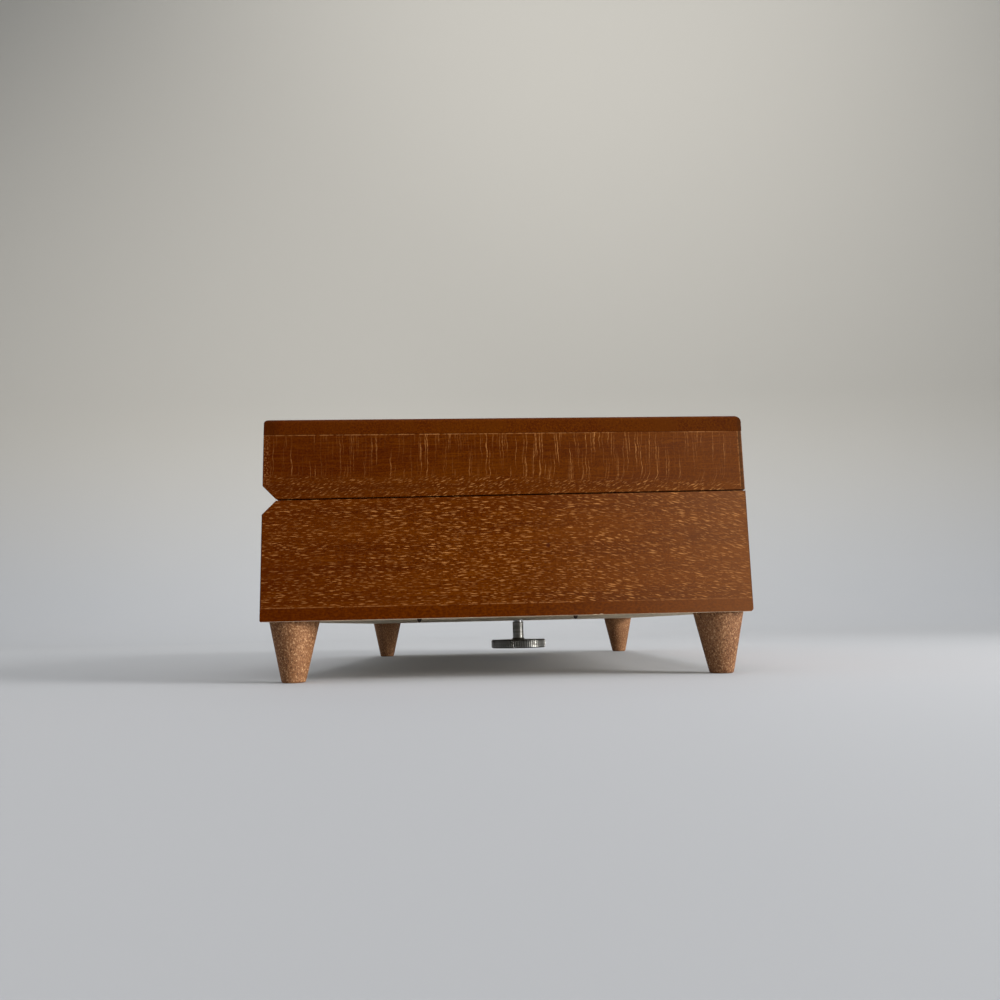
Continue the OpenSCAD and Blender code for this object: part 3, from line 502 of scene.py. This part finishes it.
def add_knot(board, colour):
    sockets = {0: board.point, 1: (board.low.x, *KNOT_PLACE)}
    spot = board.wire.make("ShaderNodeVectorMath", {"operation": "DISTANCE"}, sockets, 1)
    return ((1 - spot.step(0.25 * MM, 0.75 * MM)) * 0.75).mix(colour, KNOT)


print("strip:", round(STRIP / MM, 2), "mm of end grain at the lid's front")

# %% [markdown]
# ## Age, painted shade and painted light
# The stain is painted a little redder and darker on the hinge side, as painted shade, and paler and
# greyer on the front side, where the box faced the light, as fading and painted light. The top board
# has darkened instead, most of all at its hinge end and along its front edge.

# %% Age, painted shade and painted light
SIDE = 75 * MM
SIDE_START = 5 * MM
REDDER_PAINTED_SHADE = 0.35


# Painted shade: redder and darker towards the hinge side. Fading and painted light: paler towards the
# front side.
def shade_and_light_by_side(y, colour, fade_and_light, front_colour):
    colour = (y.step(SIDE_START, SIDE) * REDDER_PAINTED_SHADE).mix(colour, STAIN_PAINTED_SHADE)
    return ((0 - y).step(-SIDE_START, SIDE) * fade_and_light).mix(colour, front_colour)


def dark_top(board, colour):
    y = board.parts[1]
    tip = board.high.y - y + (board.slow - 0.5) * (3 * MM)
    colour = ((1 - tip.step(2 * MM, 4.5 * MM)) * 0.45).mix(colour, STAIN_DEEP)
    edge = 1 - (y - board.low.y).step(0.5 * MM, 1.3 * MM)
    return (edge * 0.4).mix(colour, STAIN_AGED)


print("age: full at", SIDE / MM, "mm from the middle")

# %% [markdown]
# ## Stained beech, all layers
# The layers go on in the order in which a box gets them: the stain with its flecks, the dark ends,
# the wear, and then the ageing over everything, with painted shade on the hinge side and painted
# light on the front side. Fibres, grit and flecks also give a fine bump, and worn wood is rougher
# than varnished wood.


# %% Stained beech
def beech(name, grain, box, seed, figure, wear, fade_and_light, deep):
    board = start_board(name, grain, box, seed, figure)
    wire, shader = board.wire, board.shader
    plain = figure == "plain"
    slant = fleck_slant(board)
    mark = fleck_mark(board, slant)
    colour = (mark * 0.9).mix(stain_colour(board, slant), FLECK)
    worn = worn_joint(wire, board.parts, board.low, board.lid)
    if board.lid and board.end:
        colour, worn = lid_strip(board, colour, worn)
    if board.base and board.end:
        colour = base_edges(board, colour)
    if name == "beech_base_left_end":
        colour = add_knot(board, colour)
    colour = (worn * wear).mix(colour, WORN)
    # Painted shade on the hinge side; fading and painted light on the front side.
    colour = shade_and_light_by_side(board.parts[1], colour, fade_and_light, STAIN_AGED if plain else STAIN_FADED_AND_LIT)
    colour = (board.tone.step(0.2, 0.8) * (2 * deep)).mix(colour, STAIN_DEEP)
    if plain:
        colour = dark_top(board, colour)
    feed(wire, shader.inputs["Base Color"], colour)
    feed(wire, shader.inputs["Roughness"], 0.46 + board.fibre * 0.14 + worn * 0.2)
    relief = board.fibre * 0.5 + board.grit * 0.3 + mark * 0.4
    bump(wire, shader, relief, 0.05 * MM, 0.5)
    varnish(shader)
    return board.material


print("stained beech: dashes, streaks and plain figures")

# %% [markdown]
# ## Eased edges
# A CAD board is a few loose triangles with knife-sharp edges. Real edges are rubbed round, and
# catch a thin line of light. The mesh must not change, so three modifiers do it live: Weld joins
# the triangles, Decimate dissolves the flat ones into whole faces, and Bevel rounds what is left.

# %% Easing helper
JOIN = 0.002 * MM
FLAT_DEGREES = 0.3
EDGE_DEGREES = 35


def ease(node, width, segments=2):
    board = nodes[node]
    weld = board.modifiers.new("join", "WELD")
    weld.merge_threshold = JOIN
    flat = board.modifiers.new("flatten", "DECIMATE")
    flat.decimate_type = "DISSOLVE"
    flat.angle_limit = math.radians(FLAT_DEGREES)
    soft = board.modifiers.new("ease", "BEVEL")
    soft.width = width * MM
    soft.segments = segments
    soft.limit_method = "ANGLE"
    soft.angle_limit = math.radians(EDGE_DEGREES)
    soft.material = -1
    soft.profile = 0.5
    soft.use_clamp_overlap = True


def dress(node, material):
    slots = nodes[node].data.materials
    slots.clear()
    slots.append(material)


print("easing: edges sharper than", EDGE_DEGREES, "degrees")

# %% [markdown]
# ## The case boards
# The two end boards show the figure best: dashes on the base, streaks with a row of dashes below
# on the lid. Front, back and partition run along the box, so their grain does too. The top board
# shows only a plain edge from the end. Each row gives a board's grain and figure, and how much it is
# worn, faded with painted light on its front side, and deepened.

# %% Case boards
boards = [
    ("base_left_end", "YZX", "dashes", 0.45, 0.3, 0.02),
    ("base_right_end", "YZX", "dashes", 0.45, 0.3, 0.02),
    ("base_front", "XZY", "dashes", 0.45, 0.1, 0.05),
    ("base_back", "XZY", "dashes", 0.45, 0.1, 0.02),
    ("lid_left_end", "YZX", "streaks", 0.7, 0.16, 0.14),
    ("lid_right_end", "YZX", "streaks", 0.7, 0.16, 0.14),
    ("lid_front", "XZY", "streaks", 0.5, 0.06, 0.14),
    ("lid_back", "XZY", "streaks", 0.5, 0.06, 0.1),
    ("lid_top", "XYZ", "plain", 0.0, 0.25, 0.18),
    ("partition", "YZX", "dashes", 0.3, 0.1, 0.02),
    ("glass_ledges", "YZX", "plain", 0.1, 0.1, 0.02),
]
SEED_STEP = 0.731
BOARD_EASE = 0.13
for count, (node, grain, figure, wear, fade_and_light, deep) in enumerate(boards):
    seed = SEED_STEP * (count + 1)
    dress(node, beech("beech_" + node, grain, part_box(node), seed, figure, wear, fade_and_light, deep))
    ease(node, BOARD_EASE)
print("boards:", len(boards))

# %% [markdown]
# ## The bottom board
# Only its edges were stained. The underside is bare, pale wood, and the stain ends in a ragged line
# where the edge was rubbed, so the side distance decides which of the two finishes shows.

# %% Bottom board, bare and stained
low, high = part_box("bottom_board")
material, shader, wire = new_finish("bottom_board_wood")
point, (x, y, z) = places(wire)
fibre = noise(wire, stretched(wire, x, y, z, (70, 1700, 1700)), detail=3)
tone = noise(wire, stretched(wire, x, y, z, (7, 190, 190)), detail=4, rough=0.6)
grit = noise(wire, stretched(wire, x, y, z, (900, 900, 2600)), detail=2)
pale = (tone * 0.7 + fibre * 0.3).step(0.34, 0.66).mix(srgb(192, 174, 146), srgb(222, 208, 184))
pale = (flecks(wire, x, y + z, 3.4, 0.6, 0.53) * 0.4).mix(pale, srgb(158, 128, 94))
stain = (fibre * 0.5 + grit * 0.5).step(0.32, 0.7).mix(srgb(66, 22, 0), srgb(92, 40, 0))
# Painted shade on the hinge side; fading and painted light on the front side.
stain = shade_and_light_by_side(y, stain, 0.3, STAIN_FADED_AND_LIT)
print("bottom board: stained edge", round((high.z - low.z) / MM, 1), "mm high")

# %% Bottom board, where the stain ends
CHIP = 0.3 * MM
side = (x - low.x).least(high.x - x).least((y - low.y).least(high.y - y))
ragged = noise(wire, stretched(wire, x, y, z, (110, 110, 0)), detail=4, rough=0.7)
chipped = 1 - (z - low.z - ragged.step(0.6, 0.72) * CHIP).step(0, 0.1 * MM)
bare = side.step(0.12 * MM, 0.3 * MM).most(chipped * 0.7)
feed(wire, shader.inputs["Base Color"], bare.mix(stain, pale))
feed(wire, shader.inputs["Roughness"], 0.5 + bare * 0.2)
bump(wire, shader, fibre * 0.6 + grit * 0.4, 0.06 * MM, 0.5)
varnish(shader)
dress("bottom_board", material)
ease("bottom_board", 0.2)
print("bottom board: chipped up to", round(CHIP / MM, 1), "mm")

# %% [markdown]
# ## The feet
# Each foot is a plain taper from the lathe, left rough and speckled. A lathe turns a profile round
# an axis, and so does spin: a few points down one side, turned a full circle and merged. The sole's
# rim is then bevelled round.

# %% Helpers for new pieces
CLOSE = 0.001 * MM


def new_piece(name, mesh, body):
    bmesh.ops.remove_doubles(mesh, verts=mesh.verts, dist=CLOSE)
    bmesh.ops.recalc_face_normals(mesh, faces=mesh.faces)
    data = bpy.data.meshes.new(name)
    mesh.to_mesh(data)
    mesh.free()
    piece = bpy.data.objects.new(name, data)
    bpy.context.scene.collection.objects.link(piece)
    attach(piece, body)
    return piece


def turned(mesh, profile, steps, centre=(0, 0, 0)):
    points = [mesh.verts.new((r, 0, z)) for r, z in profile]
    edges = [mesh.edges.new(pair) for pair in zip(points, points[1:])]
    bmesh.ops.spin(mesh, geom=points + edges, axis=(0, 0, 1), cent=(0, 0, 0), steps=steps,
                   angle=2 * math.pi, use_merge=True)
    bmesh.ops.remove_doubles(mesh, verts=mesh.verts, dist=CLOSE)
    bmesh.ops.translate(mesh, verts=mesh.verts, vec=centre)


def smooth_sides(mesh, sharp=40):
    for face in mesh.faces:
        face.smooth = True
    for edge in mesh.edges:
        edge.smooth = not (edge.is_manifold and edge.calc_face_angle() > math.radians(sharp))


print("turning: ready")

# %% [markdown]
# ## Rough turned wood
# The lathe tore the short fibres of the feet, and stain and dust sit in them. So there is no figure,
# only dark pits and pale specks about half a millimetre across. The front pair is painted a little
# darker than the back pair, partly as if cut from another stick and partly as painted shade.

# %% Rough turned wood
SPECK = (2500, 2500, 2100)
foot_finish, shader, wire = new_finish("rough_turned_wood")
point, (x, y, z) = places(wire)
speck = noise(wire, stretched(wire, x, y, z, SPECK), detail=2, rough=0.6)
pore = noise(wire, point, 4200, 1)
tone = noise(wire, stretched(wire, x, y, z, (160, 160, 60)), detail=2)
brown = tone.step(*EVEN).mix(srgb(110, 70, 40), srgb(134, 92, 60))
brown = ((1 - speck.step(0.32, 0.46)) * 0.7).mix(brown, srgb(62, 33, 15))
colour = (speck.step(0.52, 0.72) * 0.6).mix(brown, srgb(210, 168, 124))
colour = (pore.step(0.6, 0.75) * 0.25).mix(colour, srgb(222, 188, 150))
# Painted shade, partly another stick: the front pair of feet is darker.
front_pair_painted_shade = 1 - y.step(-20 * MM, 20 * MM)
colour = (front_pair_painted_shade * 0.2).mix(colour, srgb(66, 38, 20))
feed(wire, shader.inputs["Base Color"], colour)
feed(wire, shader.inputs["Roughness"], 0.62 + speck * 0.2)
bump(wire, shader, speck * 0.7 + pore * 0.3, 0.12 * MM, 0.7)
shader.inputs["Specular IOR Level"].default_value = 0.2
print("rough turned wood: specks of", round(1 / (SPECK[0] * MM), 1), "mm")

# %% Four feet
SOLE = 2.8 * MM
FOOT_RINGS = (0.12, 0.3, 0.5, 0.7, 0.88)
FOOT_STEPS = 72
ON_FLOOR = 0.01 * MM


def is_rim(edge):
    down = all(vert.co.z < ON_FLOOR for vert in edge.verts)
    return edge.is_manifold and down and edge.calc_face_angle() > 0.5


def make_foot(node):
    low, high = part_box(node)
    middle = (low + high) / 2
    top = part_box("bottom_board")[0].z
    wide = (high.x - low.x) / 2
    mesh = bmesh.new()
    profile = [(0, 0), (SOLE - 0.05 * MM, 0)]
    for share in FOOT_RINGS:
        profile.append((SOLE + (wide - SOLE) * share, top * share))
    profile += [(wide, top), (0, top)]
    turned(mesh, profile, FOOT_STEPS, (middle.x, middle.y, 0))
    rim = [edge for edge in mesh.edges if is_rim(edge)]
    bmesh.ops.bevel(mesh, geom=rim, offset=0.4 * MM, offset_type="OFFSET", segments=3, profile=0.5,
                    affect="EDGES", material=-1)
    smooth_sides(mesh)
    foot = new_piece("turned_" + node, mesh, "case")
    foot.data.materials.append(foot_finish)
    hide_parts(node)
    return foot


for node in ("foot_front_left", "foot_front_right", "foot_back_left", "foot_back_right"):
    foot = make_foot(node)
    print(foot.name, len(foot.data.polygons), "faces")

# %% [markdown]
# ## The winding knob
# A flat steel disc with a knurled rim on a short stem. The disc, its dished underside and the stem
# are one turned profile. Every fourth column of points on the rim is then pressed in, which makes
# the ridges of the knurl. The steel shows fine rings from the lathe, and dirt sits in the grooves.

# %% Knob finish
RIM = 10.02 * MM
GROOVE = 0.2 * MM
knob_finish, shader, wire = new_finish("knob_steel")
low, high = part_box("winding_knob")
axis = Vector(((low.x + high.x) / 2, (low.y + high.y) / 2, 0))
point, (x, y, z) = places(wire)
out = flat_length(wire, x - axis.x, y - axis.y)
ring = noise(wire, stretched(wire, out, z, z, (6000, 900, 900)), detail=2)
stain = noise(wire, point, 330, 3, 0.6)
groove = 1 - out.step(RIM, RIM + GROOVE)
dirt = (groove * out.step(9.2 * MM, 9.5 * MM) * 0.7).most(stain.step(0.5, 0.72) * 0.5)
steel = ring.step(*EVEN).mix(srgb(112, 111, 106), srgb(150, 149, 145))
feed(wire, shader.inputs["Base Color"], dirt.mix(steel, srgb(46, 44, 36)))
feed(wire, shader.inputs["Roughness"], 0.24 + stain * 0.2 + dirt * 0.2)
bump(wire, shader, ring, 0.01 * MM, 0.3)
shader.inputs["Metallic"].default_value = 1.0
print("knob steel: dirt in grooves", round(GROOVE / MM, 1), "mm deep")

# %% Knob
KNOB_STEPS = 288
RIDGE_STEPS = 4
KNURL = 0.26 * MM
SOFT = 0.4 * MM
DISH = 0.35 * MM
reach = (high.x - low.x) / 2
stem = 2.05 * MM
top = low.z + 3.1 * MM
mesh = bmesh.new()
profile = [
    (0, low.z + DISH), (5.6 * MM, low.z + DISH), (6.2 * MM, low.z),
    (reach - SOFT, low.z), (reach, low.z + SOFT),
    (reach, (low.z + top) / 2), (reach, top - SOFT),
    (reach - SOFT, top), (stem + 1.1 * MM, top),
    (stem + 0.3 * MM, top + 0.25 * MM), (stem, top + 0.7 * MM),
    (stem, high.z - 0.2 * MM), (stem - 0.2 * MM, high.z), (0, high.z),
]
turned(mesh, profile, KNOB_STEPS)
for vert in mesh.verts:
    column = math.atan2(vert.co.y, vert.co.x) / (2 * math.pi) * KNOB_STEPS
    if round(column) % RIDGE_STEPS == 0 and vert.co.xy.length > reach - 0.1 * MM:
        vert.co.xy *= (reach - KNURL) / vert.co.xy.length
bmesh.ops.translate(mesh, verts=mesh.verts, vec=axis)
smooth_sides(mesh, 25)
knob = new_piece("knurled_knob", mesh, "winding")
knob.data.materials.append(knob_finish)
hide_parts("winding_knob")
print("knob:", round(reach * 2 / MM, 1), "mm across,", KNOB_STEPS // RIDGE_STEPS, "ridges")

# %% [markdown]
# ## Brads
# The bottom board is held by four small brads under the end boards. The two at the near end stand
# proud, with dark domed heads, and the two at the far end are driven in flush. Each is turned from a
# quarter arc, which is nearly flat for the flush ones.

# %% Brad iron
brad_finish, shader, wire = new_finish("brad_iron")
point, parts = places(wire)
rust = noise(wire, point, 1400, 3, 0.6)
rusty = rust.step(0.4, 0.7)
feed(wire, shader.inputs["Base Color"], rusty.mix(srgb(38, 34, 31), srgb(84, 58, 42)))
feed(wire, shader.inputs["Roughness"], 0.45 + rust * 0.3)
feed(wire, shader.inputs["Metallic"], 0.9 - rusty * 0.5)
bump(wire, shader, rust, 0.05 * MM, 0.5)
print("brad iron: dark, with some rust")

# %% Brads
low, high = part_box("bottom_pins")
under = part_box("bottom_board")[0].z
SHANK = 0.4 * MM
HEAD = 0.55 * MM
PROUD = under - low.z
FLUSH = 0.05 * MM
BRAD_STEPS = 20
brad_sizes = [(low.x + HEAD, HEAD, PROUD), (high.x - SHANK, SHANK, FLUSH)]
brad_places = [(x, y, r, h) for x, r, h in brad_sizes for y in (low.y + HEAD, high.y - HEAD)]
arc = [math.radians(angle) for angle in (90, 65, 40, 18, 0)]
mesh = bmesh.new()
for x, y, radius, height in brad_places:
    one = bmesh.new()
    dome = [(radius * math.cos(a), under - height * math.sin(a)) for a in arc]
    turned(one, dome + [(0, under)], BRAD_STEPS, (x, y, 0))
    smooth_sides(one)
    data = bpy.data.meshes.new("one_brad")
    one.to_mesh(data)
    one.free()
    mesh.from_mesh(data)
    bpy.data.meshes.remove(data)
brads = new_piece("brad_heads", mesh, "case")
brads.data.materials.append(brad_finish)
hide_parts("bottom_pins")
print("brads:", len(brad_places))

# %% [markdown]
# ## The felt
# The tray is lined with a single piece of red felt, cut to the floor and laid in. It is a grid with
# a very slight wave, thickened by Solidify, and its fibres are a fine matted noise.

# %% Felt finish
felt_finish, shader, wire = new_finish("red_felt")
point, (x, y, z) = places(wire)
mat = noise(wire, point, 2600, 3, 0.7)
lint = noise(wire, stretched(wire, x, y, z, (700, 2600, 900)), detail=2)
fade = noise(wire, point, 26, 2)
colour = fade.step(*EVEN).mix(srgb(104, 16, 22), srgb(126, 26, 30))
colour = (mat.step(0.35, 0.7) * 0.5).mix(colour, srgb(150, 44, 46))
colour = (lint.step(0.66, 0.8) * 0.3).mix(colour, srgb(184, 98, 92))
feed(wire, shader.inputs["Base Color"], colour)
feed(wire, shader.inputs["Roughness"], 0.85 + mat * 0.1)
bump(wire, shader, mat * 0.7 + lint * 0.3, 0.25 * MM, 0.8)
shader.inputs["Sheen Weight"].default_value = 0.35
shader.inputs["Sheen Roughness"].default_value = 0.5
print("felt finish: matted, with lint")

# %% Felt
low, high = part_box("felt_lining")
middle = (low + high) / 2
wide = high.x - low.x
deep = high.y - low.y
SAG = 0.12 * MM
RIPPLE = 0.05 * MM


def felt_wave(x, y):
    return math.sin(x * 61 + 1) * math.sin(y * 47) + math.sin(x * 23 - y * 88)


mesh = bmesh.new()
bmesh.ops.create_grid(mesh, x_segments=48, y_segments=48, size=0.5)
bmesh.ops.scale(mesh, verts=mesh.verts, vec=(wide, deep, 1))
for vert in mesh.verts:
    vert.co.z = high.z - SAG + felt_wave(vert.co.x, vert.co.y) * RIPPLE
    vert.co.xy += middle.xy
for face in mesh.faces:
    face.smooth = True
felt = new_piece("felt_sheet", mesh, "case")
felt.data.materials.append(felt_finish)
thickness = felt.modifiers.new("thickness", "SOLIDIFY")
thickness.thickness = 0.75 * MM
thickness.offset = -1
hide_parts("felt_lining")
print("felt:", round(wide / MM, 1), "by", round(deep / MM, 1), "mm")

# %% [markdown]
# ## Glass
# A loose pane covers the movement. It is plain clear glass with a faint green tint, and fine dust
# makes it a little rougher in places.

# %% Glass
material, shader, wire = new_finish("clear_pane")
point, (x, y, z) = places(wire)
dust = noise(wire, point, 700, 3, 0.6).step(0.6, 0.8)
smear = noise(wire, stretched(wire, x, y, z, (30, 90, 30)), detail=2).step(0.5, 0.8)
feed(wire, shader.inputs["Roughness"], dust * 0.12 + smear * 0.05 + 0.01)
shader.inputs["Base Color"].default_value = (0.93, 0.98, 0.96, 1)
shader.inputs["Transmission Weight"].default_value = 1.0
shader.inputs["IOR"].default_value = 1.5
dress("glass_cover", material)
ease("glass_cover", 0.15)
print("glass: dusty and smeared")

# %% [markdown]
# ## Brass and steel
# The hinges and most of the movement are brass, and what bears or rings is steel. Both are metals
# with a rolled or filed surface: fine lines along one axis, slow patches of tarnish, and a roughness
# that follows them. Each row gives a metal's bright and dull colours, its roughness, the scale of
# its lines and how far it has tarnished.


# %% Metal finish
def metal(name, bright, dull, rough, lines, tarnish):
    material, shader, wire = new_finish(name)
    point, (x, y, z) = places(wire)
    line = noise(wire, stretched(wire, x, y, z, lines), detail=2)
    patch = noise(wire, point, 140, 4, 0.6)
    speck = noise(wire, point, 1600, 2)
    old = (patch * 0.7 + speck * 0.3).step(0.45, 0.68) * tarnish
    colour = (line.step(*EVEN) * 0.25 + old).mix(srgb(*bright), srgb(*dull))
    feed(wire, shader.inputs["Base Color"], colour)
    feed(wire, shader.inputs["Roughness"], rough + line * 0.1 + old * 0.25)
    bump(wire, shader, line, 0.01 * MM, 0.35)
    shader.inputs["Metallic"].default_value = 1.0
    return material


metal_rows = [
    ("hinge_brass", (200, 164, 92), (112, 78, 40), 0.28, (200, 2500, 2500), 0.8),
    ("rolled_brass", (222, 188, 112), (150, 112, 56), 0.22, (120, 2400, 2400), 0.45),
    ("turned_brass", (226, 192, 116), (148, 110, 56), 0.2, (2600, 300, 300), 0.35),
    ("ground_steel", (196, 198, 200), (128, 128, 126), 0.22, (2400, 160, 500), 0.4),
    ("turned_steel", (188, 190, 192), (112, 110, 106), 0.24, (2000, 2000, 600), 0.4),
    ("spring_steel", (92, 92, 98), (48, 44, 42), 0.3, (300, 300, 2600), 0.5),
]
metals = {row[0]: metal(*row) for row in metal_rows}
print("metals:", ", ".join(metals))

# %% [markdown]
# ## Metal pieces
# The record says which pieces are brass and which are steel. A few get a finish of their own: the
# hinges are old and dull, the comb is ground, the springs are dark. Of the rest, what the lathe made
# is turned and what came from sheet is rolled.

# %% Metal pieces
given = {
    "hinge_brass": ["left_hinge_base_leaf", "right_hinge_base_leaf", "left_hinge_lid_leaf",
                    "right_hinge_lid_leaf"],
    "turned_brass": ["hinge_base_screws", "hinge_lid_screws", "tune_cylinder", "cylinder_hubs",
                     "great_wheel"],
    "ground_steel": ["comb", "comb_screws", "bracket_screws", "movement_screws"],
    "spring_steel": ["mainspring", "stop_spring", "arbor_clip"],
}
usual = {"brass": "rolled_brass", "steel": "turned_steel", "dark_steel": "turned_steel"}
replaced = ("winding_knob", "bottom_pins")
chosen = {node: name for name, group in given.items() for node in group}
dressed = 0
for part in frame["record"]["subparts"]:
    node = part["node"]
    kind = part["material_slot"]
    if kind in usual and node not in replaced:
        dress(node, metals[chosen.get(node, usual[kind])])
        dressed += 1
for node in ("bedplate", "comb_base", "left_bracket", "right_bracket", "governor_plate"):
    ease(node, 0.12)
print("metal pieces:", dressed)

# %% [markdown]
# ## The dowel in the lid
# A plain peg of bare wood that presses the stop pin down. Its grain runs upright.

# %% Dowel
material, shader, wire = new_finish("bare_dowel")
point, (x, y, z) = places(wire)
fibre = noise(wire, stretched(wire, x, y, z, (2400, 2400, 120)), detail=3)
bare_wood = fibre.step(*EVEN).mix(srgb(176, 146, 104), srgb(206, 180, 138))
feed(wire, shader.inputs["Base Color"], bare_wood)
feed(wire, shader.inputs["Roughness"], 0.6 + fibre * 0.15)
bump(wire, shader, fibre, 0.05 * MM, 0.5)
dress("lid_dowel", material)
print("dowel: upright grain")

# %% [markdown]
# ## The floor
# The floor is plain and pale, and rises behind the box in one smooth curve, as studio paper does, so
# that no line shows. Far from the box it fades softly into the room, so that a view from another
# side has no hard horizon either.

# %% Floor
REACH = 12
BEND_START = 0.55
BEND = 0.35
BEND_STEPS = 12
WALL_TOP = 2.4


def sweep_floor():
    mesh = bmesh.new()
    profile = [Vector((-REACH, 0, 0)), Vector((BEND_START, 0, 0))]
    for i in range(1, BEND_STEPS + 1):
        angle = math.radians(90 * i / BEND_STEPS)
        along = BEND_START + BEND * math.sin(angle)
        profile.append(Vector((along, 0, BEND - BEND * math.cos(angle))))
    profile.append(Vector((BEND_START + BEND, 0, WALL_TOP)))
    points = [mesh.verts.new(p + Vector((0, -REACH, 0))) for p in profile]
    edges = [mesh.edges.new(pair) for pair in zip(points, points[1:])]
    made = bmesh.ops.extrude_edge_only(mesh, edges=edges)
    moved = [item for item in made["geom"] if isinstance(item, bmesh.types.BMVert)]
    bmesh.ops.translate(mesh, verts=moved, vec=(0, 2 * REACH, 0))
    for face in mesh.faces:
        face.smooth = True
    data = bpy.data.meshes.new("floor")
    bmesh.ops.recalc_face_normals(mesh, faces=mesh.faces)
    mesh.to_mesh(data)
    mesh.free()
    return data


floor = bpy.data.objects.new("floor", sweep_floor())
bpy.context.scene.collection.objects.link(floor)
print("floor:", len(floor.data.polygons), "strips")

# %% Floor finish
FADE_START = 1.2
FADE_END = 2.4
floor_finish, shader, wire = new_finish("pale_floor")
point, (x, y, z) = places(wire)
cloud = noise(wire, point, 5, 2)
pale = cloud.mix(srgb(182, 186, 192), srgb(187, 189, 194))
feed(wire, shader.inputs["Base Color"], z.step(0, BEND).mix(pale, srgb(203, 200, 193)))
away = flat_length(wire, x, y)
feed(wire, shader.inputs["Alpha"], 1 - away.step(FADE_START, FADE_END))
shader.inputs["Roughness"].default_value = 0.8
floor.data.materials.append(floor_finish)
print("floor finish: fading from", FADE_START, "to", FADE_END, "m")

# %% [markdown]
# ## The light
# Most of the light comes from two soft windows on the front side of the box. One is above the lid,
# and one is low enough to reach under the box, to the feet and the knob. Their spread is narrow, as
# if a grid were set in front of a softbox, so that the floor near them doesn't burn out. Two weak
# fills and the room keep the hinge side from going black, and one lamp is aimed at the backdrop.

# %% Lamps
WARM = (1.0, 0.98, 0.95)
WARMER = (1.0, 0.95, 0.88)
CREAM = (1.0, 0.97, 0.92)
IVORY = (1.0, 0.98, 0.94)
NARROW = 80
OPEN = 180


def lamp(name, place, target, size, power, spread, colour):
    data = bpy.data.lights.new(name, "AREA")
    data.shape = "DISK"
    data.size = size
    data.energy = power
    data.spread = math.radians(spread)
    data.color = colour
    item = bpy.data.objects.new(name, data)
    item.location = place
    item.rotation_euler = (Vector(target) - Vector(place)).to_track_quat("-Z", "Y").to_euler()
    bpy.context.scene.collection.objects.link(item)


lamp("window", (-0.42, -0.62, 0.23), (-0.05, 0, 0.03), 0.32, 1.36, NARROW, WARM)
lamp("low_window", (-0.25, -0.85, 0.06), (0, 0, 0.01), 0.16, 0.8, NARROW, WARM)
lamp("fill", (-0.9, 0.1, 0.9), (0, 0, 0.03), 0.9, 2.7, OPEN, WARMER)
lamp("back_fill", (0.1, 1.1, 0.7), (0, 0, 0.03), 0.9, 1.8, OPEN, CREAM)
lamp("backdrop_light", (0.3, -0.2, 1.5), (0.9, -0.2, 0.3), 1.4, 6.1, 100, IVORY)
print("lamps: two windows, two fills and one for the backdrop")

# %% The room
ROOM_COLOUR = (0.92, 0.96, 1.0, 1)
ROOM_LIGHT = 0.3
world = bpy.data.worlds.new("room")
bpy.context.scene.world = world
world.use_nodes = True
background = world.node_tree.nodes["Background"]
background.inputs["Color"].default_value = ROOM_COLOUR
background.inputs["Strength"].default_value = ROOM_LIGHT
bpy.context.scene.view_settings.view_transform = "Standard"
print("room: a cool light of", ROOM_LIGHT)

# %% [markdown]
# ## The last step
# Dressing must not change the object's size. The last line brings the scene up to date.

# %% Up to date
bpy.context.view_layer.update()
